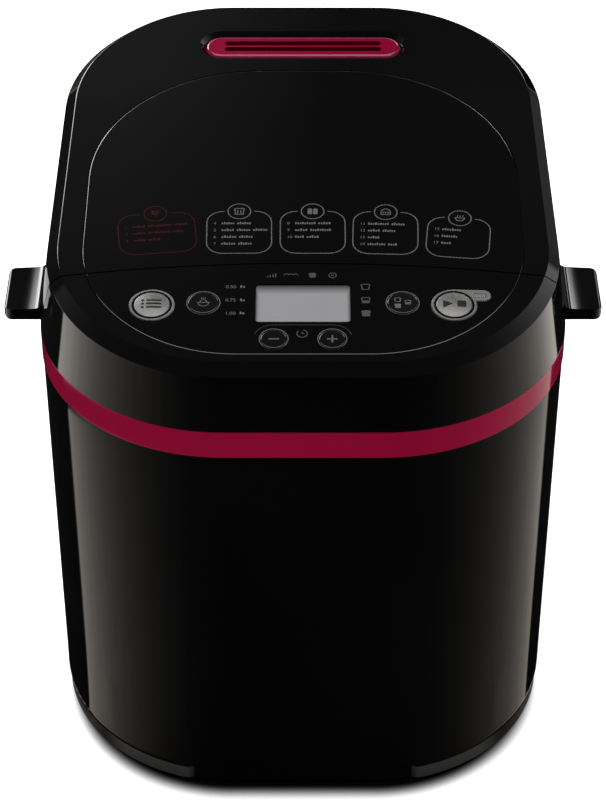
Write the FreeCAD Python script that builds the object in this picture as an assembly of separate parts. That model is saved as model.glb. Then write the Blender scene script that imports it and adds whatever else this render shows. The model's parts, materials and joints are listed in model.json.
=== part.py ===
import FreeCAD, Part
import os
from math import acos, atan2, cos, pi, radians, sin, sqrt, tan

os.makedirs("parts", exist_ok=True)

# Millimetres. X to the right, front towards -Y, Z up, origin on the floor under the middle of the body.

# Body outline in plan and the levels that the outside is built on.
body_width = 264.0
body_depth = 301.0
corner_radius = 94.0
pad_height = 2.0
base_level = 10.0
shell_height = 219.0
band_height = 16.0
lid_gap = 1.5
band_bottom = base_level + shell_height
band_top = band_bottom + band_height
lid_bottom = band_top + lid_gap
side_face = body_width / 2
front_face = -body_depth / 2
back_face = body_depth / 2

# Foot skirts that follow the four corners.
foot_inset = 2.0
foot_thickness = 8.0
foot_reach_x = 74.0
foot_reach_y = 88.5
base_screw_inset = 20.0

# Low wall under the floor of the base, set back between the foot skirts.
plinth_inset = 4.0
plinth_lift = 1.2
plinth_lap = 4.0

# Sloped top: one plane through lid and control panel, falling to the front.
top_setback = 8.1
top_rise = 35.0
top_slope = 6.2
upper_draft = 8.0
bevel = 5.0
edge_round = 0.7
top_front_y = front_face + top_setback
top_front_z = band_top + top_rise

# Walls and clearances.
wall = 2.4
top_wall = 3.4
panel_thickness = 2.0
shell_inset = 0.4
shell_foot_inset = 1.2
shell_foot_round = 4.0
fit_gap = 0.3
slip = 0.02
running = 0.05

# Parting line between control housing and lid: an arc that leans back as it goes down.
seam_setback = 78.3
seam_radius = 730.0
seam_lean = 0.4
seam_gap = 0.8
seam_middle_y = front_face + seam_setback

# Groove line round the glossy panels.
panel_side_margin = 23.1
panel_front_margin = 14.1
panel_back_margin = 70.0
panel_front_radius = 77.0
panel_back_radius = 87.0
groove = 0.4
panel_round = 0.45
panel_half = side_face - panel_side_margin
panel_front = front_face + panel_front_margin
panel_back = back_face - panel_back_margin

# Lid hinge at the back.
hinge_lift = 6.0
hinge_radius = 3.5
hinge_pin_radius = 1.5
barrel_half = 45.0
knuckle_length = 11.0
hinge_y = back_face - hinge_radius
hinge_z = band_top + hinge_lift

# Baking chamber, pan and heater share one upright axis.
oven_side_margin = 35.0
oven_front_margin = 34.2
oven_back_margin = 32.5
oven_radius = 32.0
oven_lift = 46.0
sheet = 0.8
oven_floor = base_level + oven_lift
oven_front = seam_middle_y + oven_front_margin
oven_back = back_face - oven_back_margin
oven_y = (oven_front + oven_back) / 2
oven_half_x = side_face - oven_side_margin
oven_half_y = (oven_back - oven_front) / 2
pan_margin = 19.0
pan_taper = 4.0
pan_radius = 24.0
pan_wall = 1.4
pan_stand = 20.0
pan_drop = 29.0
pan_floor = oven_floor + pan_stand
pan_rim = band_top - pan_drop
rim_width = 4.6
pan_top_half_x = oven_half_x - pan_margin
pan_top_half_y = oven_half_y - pan_margin
ear_inset = 0.4
ear_thickness = 1.6
bail_radius = 2.3
bail_lift = 8.0
bail_play = 1.2
bail_setback = 14.0
bail_bend = 26.0
ear_face = pan_top_half_x + ear_inset
bail_half = ear_face - bail_play - bail_radius
bail_reach = pan_top_half_y - bail_setback
bail_level = pan_rim + bail_lift
heater_lift = 32.0
heater_level = oven_floor + heater_lift
heater_radius = 3.3
heater_margin = 9.0

# Drive line under the chamber.
drive_radius = 5.0
driven_groove = 46.0
drive_ratio = 5.0
belt_thickness = 2.2
belt_lift = 16.0
belt_width = 8.0
belt_low = base_level + belt_lift
belt_high = belt_low + belt_width
motor_setback = 54.5
motor_shaft_radius = 3.0
motor_half = 34.0
motor_bell = 14.0
motor_stack = 30.0
motor_wall = 3.0
rotor_radius = 17.0
rotor_gap = 0.4
chassis_lift = 34.0
chassis_thickness = 2.0
chassis_low = base_level + chassis_lift
chassis_high = chassis_low + chassis_thickness
pan_shaft_radius = 4.0
collar_radius = 44.0
collar_wall = 2.0
seat_play = 0.5
seat_wall = 2.5
seat_height = 11.0
motor_y = front_face + motor_setback

# Controls: plan position, cap diameter.
big_button = 17.4
mid_button = 14.8
small_button = 12.6
outer_column = panel_half - 36.3
inner_column = panel_half - 61.0
small_column = 13.9
outer_row = front_face + 47.9
inner_row = front_face + 49.5
small_row = front_face + 24.3
controls = {
    "menu_button": (-outer_column, outer_row, big_button),
    "weight_button": (-inner_column, inner_row, mid_button),
    "minus_button": (-small_column, small_row, small_button),
    "plus_button": (small_column, small_row, small_button),
    "crust_button": (inner_column, inner_row, mid_button),
    "start_button": (outer_column, outer_row, big_button),
}
button_play = 0.3
big_proud = 1.7
dome_rise = 0.8
small_proud = 0.7
ring_inner = 9.8
ring_outer = 11.1
ring_height = 0.8
ring_edge = 0.35
lobe_reach = (14.0, 6.6)
lobe_radius = 4.05
lamp_length = 6.0
lamp_width = 2.6
lamp_setback = 1.4
lamp_play = 0.2
display_y = front_face + 50.3
display_width = 45.7
display_depth = 26.6
display_sink = 0.9
window_lip = 2.0
board_depth = 12.0
board_thickness = 1.6
board_half = 26.5
board_margin = 24.0
board_y = front_face + 44.0
post_x = panel_half - 48.9
post_places = [(side * post_x, board_y + step) for step in (20.5, -12.5) for side in (-1, 1)]

# Power board on edge beside the motor.
power_x = 54.0 - side_face
power_front = front_face + 38.5
power_length = 56.0
power_low = base_level + 22.0
power_high = base_level + 108.0

# Gland for the mains lead in the back wall.
gland_radius = 7.0
gland_x = 30.0
gland_z = base_level + 32.0

# Steam vent in the lid.
vent_margin = 47.6
vent_length = 104.7
vent_width = 18.1
vent_bevel = 3.0
vent_flare = 3.2
vent_sink = 1.0
vent_height = 3.6
vent_edge = 2.2
vent_slot_length = 84.0
vent_slot_width = 3.6
vent_rib = 1.4
vent_y = back_face - vent_margin

# Lift tabs on the lid's sides.
tab_overhang = 17.8
tab_setback = 9.2
tab_length = 36.0
tab_corner = 4.5
tab_thickness = 6.2
tab_slope = 5.0
tab_fillet = 4.5
tab_sweep = 70.0
tab_reach = side_face + tab_overhang
tab_front = seam_middle_y + tab_setback
tab_back = tab_front + tab_length

lean = tan(radians(upper_draft))
rise = tan(radians(top_slope))
belt_offset = fit_gap + belt_thickness / 2
motor_groove = (driven_groove + belt_offset) / drive_ratio - belt_offset


def vec(x, y, z):
    return FreeCAD.Vector(x, y, z)


def fuse(shapes):
    whole = shapes[0]
    for shape in shapes[1:]:
        whole = whole.fuse(shape)
    return whole.removeSplitter()


def cut(shape, tools):
    for tool in tools:
        shape = shape.cut(tool)
    return shape


def rod(radius, x, y, low, high):
    return Part.makeCylinder(radius, high - low, vec(x, y, low))


def cross_rod(radius, left, right, y, z):
    return Part.makeCylinder(radius, right - left, vec(left, y, z), vec(1, 0, 0))


def block(left, right, front, back, low, high):
    return Part.makeBox(right - left, back - front, high - low, vec(left, front, low))


def corner(cx, cy, radius, start, z):
    """Quarter circle that starts at the given angle in degrees and turns left."""
    points = []
    for turn in (0, 45, 90):
        angle = radians(start + turn)
        points.append(vec(cx + radius * cos(angle), cy + radius * sin(angle), z))
    return Part.Arc(*points).toShape()


def joined(arcs):
    """Closed wire of arcs in order, with straight runs between them."""
    edges = []
    for index, arc in enumerate(arcs):
        following = arcs[(index + 1) % len(arcs)]
        edges.append(arc)
        end = arc.lastVertex(True).Point
        start = following.firstVertex(True).Point
        if end.distanceToPoint(start) > 1e-6:
            edges.append(Part.makeLine(end, start))
    return Part.Wire(edges)


def round_rect(half_x, front, back, radius, z):
    arcs = [
        corner(half_x - radius, back - radius, radius, 0, z),
        corner(-half_x + radius, back - radius, radius, 90, z),
        corner(-half_x + radius, front + radius, radius, 180, z),
        corner(half_x - radius, front + radius, radius, 270, z),
    ]
    return joined(arcs)


def plate(half_x, front, back, radius, low, high):
    face = Part.Face(round_rect(half_x, front, back, radius, low))
    return face.extrude(vec(0, 0, high - low))


def oven_plate(grow, low, high):
    return plate(oven_half_x + grow, oven_y - oven_half_y - grow, oven_y + oven_half_y + grow,
                 oven_radius + grow, low, high)


def body_wire(inset, z):
    return round_rect(body_width / 2 - inset, -body_depth / 2 + inset, body_depth / 2 - inset,
                      corner_radius - inset, z)


def body_slab(inset, low, high):
    return Part.Face(body_wire(inset, low)).extrude(vec(0, 0, high - low))


def body_taper(low_inset, low, high_inset, high):
    return Part.makeLoft([body_wire(low_inset, low), body_wire(high_inset, high)], True, True)


def slot_face(length, width, z):
    """Face with straight sides and round ends, along X."""
    radius = width / 2
    reach = length / 2 - radius
    right = Part.Arc(vec(reach, -radius, z), vec(reach + radius, 0, z), vec(reach, radius, z)).toShape()
    left = Part.Arc(vec(-reach, radius, z), vec(-reach - radius, 0, z), vec(-reach, -radius, z)).toShape()
    return Part.Face(joined([right, left]))


def slot_prism(length, width, low, high):
    return slot_face(length, width, low).extrude(vec(0, 0, high - low))


def loop_face(first, first_radius, second, second_radius, z):
    """Face bounded by two circles and their outer tangents."""
    dx = second[0] - first[0]
    dy = second[1] - first[1]
    heading = atan2(dy, dx)
    spread = sqrt(dx * dx + dy * dy)
    side = acos((first_radius - second_radius) / spread)

    def point(centre, radius, angle):
        return vec(centre[0] + radius * cos(angle), centre[1] + radius * sin(angle), z)

    start = heading + side
    finish = heading - side
    big = Part.Arc(point(first, first_radius, start), point(first, first_radius, heading + pi),
                   point(first, first_radius, finish)).toShape()
    small = Part.Arc(point(second, second_radius, finish), point(second, second_radius, heading),
                     point(second, second_radius, start)).toShape()
    return Part.Face(joined([big, small]))


def loop_prism(first, first_radius, second, second_radius, low, high):
    return loop_face(first, first_radius, second, second_radius, low).extrude(vec(0, 0, high - low))


def top_height(y):
    return top_front_z + (y - top_front_y) * rise


def tilted(shape, x, y):
    """Place a shape drawn on a level panel on the sloped top, its origin on the surface."""
    turn = FreeCAD.Rotation(vec(1, 0, 0), top_slope)
    place = FreeCAD.Placement(vec(x, y, top_height(y)), turn)
    shape.Placement = place.multiply(shape.Placement)
    return shape


def below_top(drop):
    """Everything under the sloped top, lowered square to it by drop."""
    wide = 2 * body_width
    long = 3 * body_depth
    deep = 2 * top_front_z
    bulk = Part.makeBox(wide, long, deep, vec(-wide / 2, -body_depth, -deep - drop))
    return tilted(bulk, 0, top_front_y)


def upper_block(inset, drop, low):
    """Solid above the band: leaning walls, sloped top and the bevel between them."""
    high = top_height(back_face) + 4 * bevel
    blank = body_taper(inset + (low - band_top) * lean, low, inset + (high - band_top) * lean, high)
    solid = blank.common(below_top(drop))
    return solid.makeChamfer(bevel, top_face(solid).Edges)


def top_face(solid):
    """The face of a solid that lies in the sloped top."""
    normal = vec(0, -sin(radians(top_slope)), cos(radians(top_slope)))
    for face in solid.Faces:
        if face.normalAt(0, 0).dot(normal) > 0.999:
            top = face
    return top


def among(edge, edges):
    return any(edge.isSame(other) for other in edges)


def rounded_block(low, soft_top):
    """Outside of the upper body, with the lower edge of its bevel rounded, and the upper one for a soft top."""
    solid = upper_block(0, 0, low)
    top = top_face(solid)
    inner = top.Edges
    slopes = []
    for face in solid.Faces:
        if not face.isSame(top) and any(among(edge, inner) for edge in face.Edges):
            slopes.append(face)
    outer = []
    for face in slopes:
        for edge in face.Edges:
            sharing = [other for other in slopes if among(edge, other.Edges)]
            if len(sharing) == 1 and not among(edge, inner):
                outer.append(edge)
    return solid.makeFillet(edge_round, inner + outer if soft_top else outer)


def seam_side(shift, reach):
    """Solid on one side of the parting line, moved along Y by shift; reach is its far end."""
    high = top_height(back_face) + 4 * bevel
    depth = high - band_bottom
    span = body_width * 0.7
    middle = seam_middle_y + shift - seam_lean * (high - top_height(seam_middle_y))
    sag = seam_radius - sqrt(seam_radius ** 2 - span ** 2)
    left = vec(-span, middle - sag, high)
    right = vec(span, middle - sag, high)
    arc = Part.Arc(left, vec(0, middle, high), right).toShape()
    corners = [right, vec(span, reach, high), vec(-span, reach, high), left]
    lines = [Part.makeLine(corners[index], corners[index + 1]) for index in range(3)]
    face = Part.Face(Part.Wire([arc] + lines))
    return face.extrude(vec(0, seam_lean * depth, -depth))


def behind_seam(inset):
    return seam_side(seam_gap / 2 + inset, 2 * back_face)


def before_seam(inset):
    return seam_side(-seam_gap / 2 - inset, 2 * front_face)


def panel_prism(inset):
    """Upright prism inside the groove line."""
    z = band_bottom
    half = panel_half - inset
    front = panel_front + inset
    back = panel_back - inset
    near = panel_front_radius - inset
    far = panel_back_radius - inset
    arcs = [
        corner(half - far, back - far, far, 0, z),
        corner(-half + far, back - far, far, 90, z),
        corner(-half + near, front + near, near, 180, z),
        corner(half - near, front + near, near, 270, z),
    ]
    return Part.Face(joined(arcs)).extrude(vec(0, 0, top_height(back_face) + bevel - z))


def panel_plate():
    """Thin plate under the top plane, inside the groove line, with its upper edge rounded."""
    solid = panel_prism(groove).common(below_top(0)).cut(below_top(panel_thickness))
    return solid.makeFillet(panel_round, top_face(solid).Edges)


def panel_recess():
    return panel_prism(0).cut(below_top(panel_thickness))


def screw(head_radius, head_height, shank_radius, length):
    """Screw that points up from its head's underside at z = 0, with a cross slot."""
    head = Part.makeCylinder(head_radius, head_height, vec(0, 0, -head_height))
    head = head.makeChamfer(head_height * 0.3, [head.Edges[2]])
    shank = Part.makeCylinder(shank_radius, length)
    slot = block(-head_radius * 0.55, head_radius * 0.55, -0.5, 0.5, -head_height, -head_height * 0.5)
    return cut(fuse([head, shank]), [slot, slot.rotated(vec(0, 0, 0), vec(0, 0, 1), 90)])


def make_base_plate():
    rim_inset = shell_foot_inset + wall + fit_gap
    floor = body_slab(rim_inset, base_level, base_level + 2.5)
    rim = body_slab(rim_inset, base_level, base_level + 11)
    rim = rim.cut(body_slab(rim_inset + 2, base_level, base_level + 11))
    skirt = body_slab(foot_inset, pad_height, base_level)
    skirt = skirt.cut(body_slab(foot_inset + foot_thickness, pad_height, base_level))
    plinth = body_slab(plinth_inset, plinth_lift, base_level)
    plinth = plinth.cut(body_slab(plinth_inset + wall, plinth_lift, base_level))
    plinth = cut(plinth, corner_zones(plinth_lap))
    pieces = [floor, rim, plinth]
    for zone in corner_zones(0):
        foot = skirt.common(zone)
        upright = []
        for edge in foot.Edges:
            ends = [vertex.Point for vertex in edge.Vertexes]
            if abs(ends[0].x - ends[-1].x) < 1e-4 and abs(ends[0].y - ends[-1].y) < 1e-4:
                upright.append(edge)
        pieces.append(foot.makeFillet(foot_thickness * 0.42, upright))
    for x, y in chassis_posts():
        pieces.append(rod(5, x, y, base_level, chassis_low))
    for y in board_ends():
        pieces.append(block(power_x - 6, power_x + 6, y - 4, y + 4, base_level, power_low + 14))
    plate_solid = fuse(pieces)
    tools = []
    for x, y in chassis_posts():
        tools.append(rod(1.8, x, y, chassis_low - 14, chassis_low))
    for x, y in base_screw_places():
        tools.append(rod(2.2, x, y, 0, base_level + 25))
        tools.append(rod(4.2, x, y, base_level - 1, base_level + 1))
    board = power_board_block(0.1)
    tools.append(board)
    for row in range(9):
        for side in (-1, 1):
            slot = slot_prism(30, 4, base_level - 1, base_level + 4)
            slot.translate(vec(side * 22, motor_y - 24 + row * 8, 0))
            tools.append(slot)
    return cut(plate_solid, tools)


def corner_zones(inset):
    """Upright blocks over the four corners of the plan, each smaller by inset towards the middle."""
    inner_x = side_face - foot_reach_x + inset
    inner_y = back_face - foot_reach_y + inset
    right = block(inner_x, body_width, inner_y, body_depth, -1, base_level + 5)
    zones = []
    for turned in (right, right.mirror(vec(0, 0, 0), vec(0, 1, 0))):
        zones.append(turned)
        zones.append(turned.mirror(vec(0, 0, 0), vec(1, 0, 0)))
    return zones


def chassis_posts():
    x = driven_groove - 2.0
    return [(side * x, y) for y in (motor_y - 30, oven_y + driven_groove) for side in (-1, 1)]


def base_screw_places():
    reach = (corner_radius - base_screw_inset) * sqrt(0.5)
    x = body_width / 2 - corner_radius + reach
    y = body_depth / 2 - corner_radius + reach
    return [(-x, -y), (x, -y), (-x, y), (x, y)]


def make_foot_pads():
    ring = body_slab(foot_inset + 1.4, 0, pad_height)
    ring = ring.cut(body_slab(foot_inset + foot_thickness - 1.4, 0, pad_height))
    return Part.makeCompound([ring.common(zone) for zone in corner_zones(6)])


def make_lower_shell():
    outer = body_taper(shell_foot_inset, base_level, shell_inset, band_bottom)
    low_edges = [edge for edge in outer.Edges if edge.BoundBox.ZMax < base_level + 0.01]
    outer = outer.makeFillet(shell_foot_round, low_edges)
    inner = body_taper(shell_foot_inset + wall, base_level, shell_inset + wall, band_bottom)
    shell = outer.cut(inner)
    bosses = []
    for x, y in base_screw_places():
        boss = rod(4.5, x, y, base_level + 2.5, base_level + 40)
        web = block(-1.25, 1.25, 0, base_screw_inset, base_level + 12, base_level + 40)
        web.rotate(vec(0, 0, 0), vec(0, 0, 1), atan2(y, x) * 180 / pi - 90)
        web.translate(vec(x, y, 0))
        bosses.append(boss)
        bosses.append(web.common(outer))
    shell = fuse([shell] + bosses)
    tools = []
    for x, y in base_screw_places():
        tools.append(rod(1.9, x, y, base_level, base_level + 20))
    for index in range(8):
        slot = slot_prism(46, 3.6, 0, 30)
        slot.rotate(vec(0, 0, 0), vec(1, 0, 0), 90)
        slot.translate(vec(0, back_face + 10, band_bottom - 79 + index * 7.6))
        tools.append(slot)
    tools.append(gland_rod(gland_radius + slip, -12, 8))
    return cut(shell, tools)


def gland_rod(radius, start, end):
    """Rod along Y on the gland's axis, measured from the back face."""
    return Part.makeCylinder(radius, end - start, vec(gland_x, back_face + start, gland_z), vec(0, 1, 0))


def make_cord_gland():
    body = gland_rod(gland_radius, -9, 0)
    nut = gland_rod(gland_radius + 3, -6.6, -4.1)
    lip = gland_rod(gland_radius + 2, -1, 0)
    return fuse([body, nut, lip]).cut(gland_rod(gland_radius / 2, -20, 5))


def make_accent_band():
    ring = body_slab(0, band_bottom, band_top)
    rims = [edge for edge in ring.Edges if edge.BoundBox.ZMax - edge.BoundBox.ZMin < 1e-6]
    ring = ring.makeFillet(0.7, rims)
    return ring.cut(body_slab(2.6, band_bottom - 1, band_top + 1))


def make_top_frame():
    outer = 3.0
    skirt = body_slab(outer, band_bottom - 8, band_top)
    skirt = skirt.cut(body_slab(outer + 2, band_bottom - 9, band_top + 1))
    deck = body_slab(outer, band_top - 2.5, band_top)
    opening = oven_plate(sheet + 1.5, band_top - 4, band_top + 4)
    well = plate(side_face - 32, front_face + 12.5, seam_middle_y + 10, 34, band_top - 4, band_top + 4)
    barrel = cross_rod(hinge_radius, -barrel_half, barrel_half, hinge_y, hinge_z)
    pedestal = block(-barrel_half, barrel_half, hinge_y - 5.5, hinge_y, band_top - 2.5, hinge_z)
    pedestal = pedestal.common(body_slab(outer, band_top - 3, hinge_z))
    lip = oven_plate(sheet + 3.5, band_top - 12, band_top - 1)
    lip = lip.cut(oven_plate(sheet + 1.5, band_top - 14, band_top))
    frame = fuse([skirt, deck, lip, barrel, pedestal])
    bore = cross_rod(hinge_pin_radius + slip, -barrel_half - 1, barrel_half + 1, hinge_y, hinge_z)
    return cut(frame, [opening, well, bore])


def make_hinge_pins():
    inner = barrel_half - 20
    outer = barrel_half + knuckle_length
    right = cross_rod(hinge_pin_radius, inner, outer, hinge_y, hinge_z)
    left = cross_rod(hinge_pin_radius, -outer, -inner, hinge_y, hinge_z)
    return Part.makeCompound([left, right])


def make_front_housing():
    outer = rounded_block(band_top, False).common(before_seam(0))
    inner = upper_block(wall, top_wall, band_top - 1).common(before_seam(wall))
    shell = outer.cut(inner)
    posts = [tilted(rod(3.5, 0, 0, -board_depth, -panel_thickness - 0.5), x, y) for x, y in post_places]
    shell = fuse([shell] + posts)
    tools = [panel_recess()]
    for x, y, size in controls.values():
        tools.append(tilted(rod(size / 2 + button_play, 0, 0, -8, 4), x, y))
    window_x = display_width / 2 - window_lip
    window_y = display_depth / 2 - window_lip
    window = block(-window_x, window_x, -window_y, window_y, -6, 6)
    tools.append(tilted(window, 0, display_y))
    for x, y in post_places:
        tools.append(tilted(rod(1.3, 0, 0, -board_depth - 1, -board_depth + 6), x, y))
    return cut(shell, tools)


def make_control_panel():
    solid = panel_plate().common(before_seam(0))
    tools = []
    for x, y, size in controls.values():
        tools.append(tilted(rod(size / 2 + button_play, 0, 0, -8, 4), x, y))
    window = plate(display_width / 2 + fit_gap, -display_depth / 2 - fit_gap, display_depth / 2 + fit_gap,
                   2.3, -6, 6)
    tools.append(tilted(window, 0, display_y))
    x, y, size = controls["start_button"]
    tools.append(tilted(lamp_prism(lamp_play, -8, 4), x, y))
    return cut(solid, tools)


def lamp_prism(grow, low, high):
    """Long lamp in the bar of the start ring, measured from the middle of its button."""
    lamp = slot_prism(lamp_length + 2 * grow, lamp_width + 2 * grow, low, high)
    return lamp.translated(vec(lobe_reach[0] - lamp_setback, lobe_reach[1], 0))


def make_display_lens():
    half = display_depth / 2
    lens = plate(display_width / 2, -half, half, 2, -panel_thickness, -display_sink)
    return tilted(lens, 0, display_y)


def make_display_module():
    holder_x = display_width / 2 + 3.2
    holder_y = display_depth / 2 + 3.7
    glass_x = display_width / 2 - window_lip - fit_gap
    glass_y = display_depth / 2 - window_lip - fit_gap
    holder = block(-holder_x, holder_x, -holder_y, holder_y, -board_depth, -top_wall)
    glass = block(-glass_x, glass_x, -glass_y, glass_y, -top_wall, -top_wall + 0.9)
    return tilted(fuse([holder, glass]), 0, display_y)


def make_menu_ring():
    x, y, size = controls["menu_button"]
    ring = rod(ring_outer, 0, 0, 0, ring_height)
    rims = [edge for edge in ring.Edges if edge.BoundBox.ZMin > ring_height - 0.01]
    ring = ring.makeChamfer(ring_edge, rims)
    return tilted(ring.cut(rod(ring_inner, 0, 0, -1, 3)), x, y)


def make_start_ring():
    x, y, size = controls["start_button"]
    start = (0, ring_outer - lobe_radius)
    bar = loop_prism(start, lobe_radius, lobe_reach, lobe_radius, 0, ring_height)
    ring = fuse([rod(ring_outer, 0, 0, 0, ring_height), bar])
    rims = [edge for edge in ring.Edges if edge.BoundBox.ZMin > ring_height - 0.01]
    ring = ring.makeChamfer(ring_edge, rims)
    tools = [rod(ring_inner, 0, 0, -1, 3), lamp_prism(lamp_play, -1, 3)]
    return tilted(cut(ring, tools), x, y)


def make_start_lamp():
    x, y, size = controls["start_button"]
    lamp = lamp_prism(0, -panel_thickness, ring_height + 0.1)
    lamp = lamp.makeFillet(0.3, [edge for edge in lamp.Edges if edge.BoundBox.ZMin > ring_height])
    return tilted(lamp, x, y)


def make_button(name):
    x, y, size = controls[name]
    edge_level = small_proud
    cap = rod(size / 2, 0, 0, -top_wall, small_proud)
    if name in ("menu_button", "start_button"):
        edge_level = big_proud - dome_rise
        ball = ((size / 2) ** 2 + dome_rise ** 2) / (2 * dome_rise)
        dome = Part.makeSphere(ball, vec(0, 0, big_proud - ball))
        cap = rod(size / 2, 0, 0, -top_wall, big_proud + 1).common(dome)
    cap = cap.makeFillet(0.5, [edge for edge in cap.Edges if edge.BoundBox.ZMin > edge_level - 0.01])
    flange = rod(size / 2 + 1.6, 0, 0, -top_wall - 1.2, -top_wall)
    stem = rod(2.2, 0, 0, -top_wall - 3.6, -top_wall - 1)
    return tilted(fuse([cap, flange, stem]), x, y)


def make_control_board():
    board = plate(post_x + board_margin, -board_half, board_half, board_margin,
                  -board_depth - board_thickness, -board_depth)
    tools = [rod(1.5, x, y - board_y, -20, 0) for x, y in post_places]
    return tilted(cut(board, tools), 0, board_y)


def make_board_screws():
    screws = []
    for x, y in post_places:
        one = screw(2.6, 1.6, 1.25, 6.5)
        one.translate(vec(0, 0, -board_depth - board_thickness))
        screws.append(tilted(one, x, y))
    return Part.makeCompound(screws)


def make_switches():
    switches = []
    for x, y, size in controls.values():
        base = block(-3, 3, -3, 3, -board_depth, -board_depth + 3.1)
        key = rod(1.75, 0, 0, -board_depth + 3, -board_depth + 3.7)
        switches.append(tilted(fuse([base, key]), x, y))
    return Part.makeCompound(switches)


def board_ends():
    return [power_front, power_front + power_length]


def power_board_block(extra):
    front, back = board_ends()
    half = board_thickness / 2 + extra
    return block(power_x - half, power_x + half, front - extra, back + extra, power_low - extra, power_high)


def make_power_parts():
    face = power_x + board_thickness / 2
    front = power_front
    low = power_low + 20
    transformer = block(face, face + 26, front + 4, front + 32, low, low + 32)
    relay = block(face, face + 16, front + 36, front + 52, low, low + 20)
    drum = Part.makeCylinder(8, 18, vec(face, front + 42, low + 38), vec(1, 0, 0))
    sink = block(face, face + 3, front + 6, front + 34, low + 40, low + 62)
    fins = []
    for step in range(5):
        fin_front = front + 6 + step * 6.2
        fins.append(block(face, face + 20, fin_front, fin_front + 2, low + 40, low + 62))
    plug = block(face, face + 9, front + 40, front + 52, low + 52, low + 60)
    return Part.makeCompound([transformer, relay, drum, fuse([sink] + fins), plug])


def make_lid_cover():
    outer = rounded_block(lid_bottom, True).common(behind_seam(0))
    inner = upper_block(wall, top_wall, lid_bottom - 1).common(behind_seam(wall))
    shell = outer.cut(inner)
    bosses = [rod(4.5, x, y, frame_top(), top_height(y)).common(outer) for x, y in lid_screw_places()]
    collar = tilted(slot_prism(vent_length + 7, vent_width + 7, -9, -2.5), 0, vent_y)
    knuckles = []
    for side in (-1, 1):
        start = barrel_half + 0.5 if side > 0 else -barrel_half - 0.5 - knuckle_length
        knuckles.append(cross_rod(hinge_radius, start, start + knuckle_length, hinge_y, hinge_z))
        knuckles.append(block(start, start + knuckle_length, hinge_y - hinge_radius, hinge_y,
                              hinge_z, hinge_z + 7))
    shell = fuse([shell, collar] + bosses + knuckles)
    tools = [panel_recess()]
    notch = barrel_half + 0.5
    notch_top = hinge_z + hinge_radius + 1.5
    tools.append(block(-notch, notch, hinge_y - 20, 2 * hinge_y, lid_bottom - 5, notch_top))
    tools.append(cross_rod(hinge_pin_radius + running, -side_face, side_face, hinge_y, hinge_z))
    pocket = slot_prism(vent_length + 2 * fit_gap, vent_width + 2 * fit_gap, -vent_sink - vent_height, 3)
    mouth = slot_prism(vent_length - 7, vent_width - 4, -20, 3)
    flare = Part.makeLoft([
        slot_face(vent_length + 2 * fit_gap, vent_width + 2 * fit_gap, -vent_flare).OuterWire,
        slot_face(vent_length + 2 * vent_bevel, vent_width + 2 * vent_bevel, 0.02).OuterWire,
    ], True, True)
    for shape in (pocket, mouth, flare):
        tools.append(tilted(shape, 0, vent_y))
    for x, y in lid_screw_places():
        tools.append(rod(1.5, x, y, frame_top() - 1, frame_top() + 12))
    return cut(shell, tools)


def lid_screw_places():
    wide = side_face - 19
    narrow = side_face - 60
    front = seam_middle_y + 30
    back = back_face - 23.5
    middle = oven_y + 20
    return [(side * x, y) for x, y in ((wide, front), (wide, middle), (narrow, back)) for side in (-1, 1)]


def frame_top():
    return lid_bottom + 3.5


def make_lid_panel():
    return panel_plate().common(behind_seam(0))


def make_lift_tab(side):
    low = lid_bottom
    high = low + tab_thickness
    flank = side_face - (high + tab_fillet - band_top) * lean
    slope = radians(tab_slope)
    sweep = radians(tab_sweep)
    start = tab_reach - 1.4
    foot = flank + tab_fillet * (sin(sweep) - sin(slope))
    dish = (start - foot) / sin(slope)
    ridge = high + dish * (1 - cos(slope)) + tab_fillet * cos(slope)

    def on_dish(angle):
        return vec(start - dish * sin(angle), 0, high + dish * (1 - cos(angle)))

    def on_fillet(angle):
        return vec(flank + tab_fillet * (sin(sweep) - sin(angle)), 0, ridge - tab_fillet * cos(angle))

    crest = on_fillet(sweep).z
    root = side_face - 6
    profile = Part.Wire([
        Part.makeLine(vec(root, 0, low), vec(tab_reach - 2, 0, low)),
        Part.Arc(vec(tab_reach - 2, 0, low), vec(tab_reach - 0.6, 0, low + 0.6),
                 vec(tab_reach, 0, low + 2)).toShape(),
        Part.makeLine(vec(tab_reach, 0, low + 2), vec(tab_reach, 0, high - 1.4)),
        Part.Arc(vec(tab_reach, 0, high - 1.4), vec(tab_reach - 0.4, 0, high - 0.4),
                 vec(tab_reach - 1.4, 0, high)).toShape(),
        Part.Arc(on_dish(0), on_dish(slope / 2), on_dish(slope)).toShape(),
        Part.Arc(on_fillet(slope), on_fillet((slope + sweep) / 2), on_fillet(sweep)).toShape(),
        Part.makeLine(vec(flank, 0, crest), vec(root, 0, crest)),
        Part.makeLine(vec(root, 0, crest), vec(root, 0, low)),
    ])
    bar = Part.Face(profile).extrude(vec(0, tab_back - tab_front, 0))
    bar.translate(vec(0, tab_front, 0))
    edges = [
        Part.makeLine(vec(root - 1, tab_front, 0), vec(tab_reach - tab_corner, tab_front, 0)),
        corner(tab_reach - tab_corner, tab_front + tab_corner, tab_corner, 270, 0),
        Part.makeLine(vec(tab_reach, tab_front + tab_corner, 0), vec(tab_reach, tab_back - tab_corner, 0)),
        corner(tab_reach - tab_corner, tab_back - tab_corner, tab_corner, 0, 0),
        Part.makeLine(vec(tab_reach - tab_corner, tab_back, 0), vec(root - 1, tab_back, 0)),
        Part.makeLine(vec(root - 1, tab_back, 0), vec(root - 1, tab_front, 0)),
    ]
    plan = Part.Face(Part.Wire(edges)).extrude(vec(0, 0, 400))
    tab = bar.common(plan).cut(upper_block(0, 0, lid_bottom - 1))
    if side < 0:
        tab = tab.mirror(vec(0, 0, 0), vec(1, 0, 0))
    return tab


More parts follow.
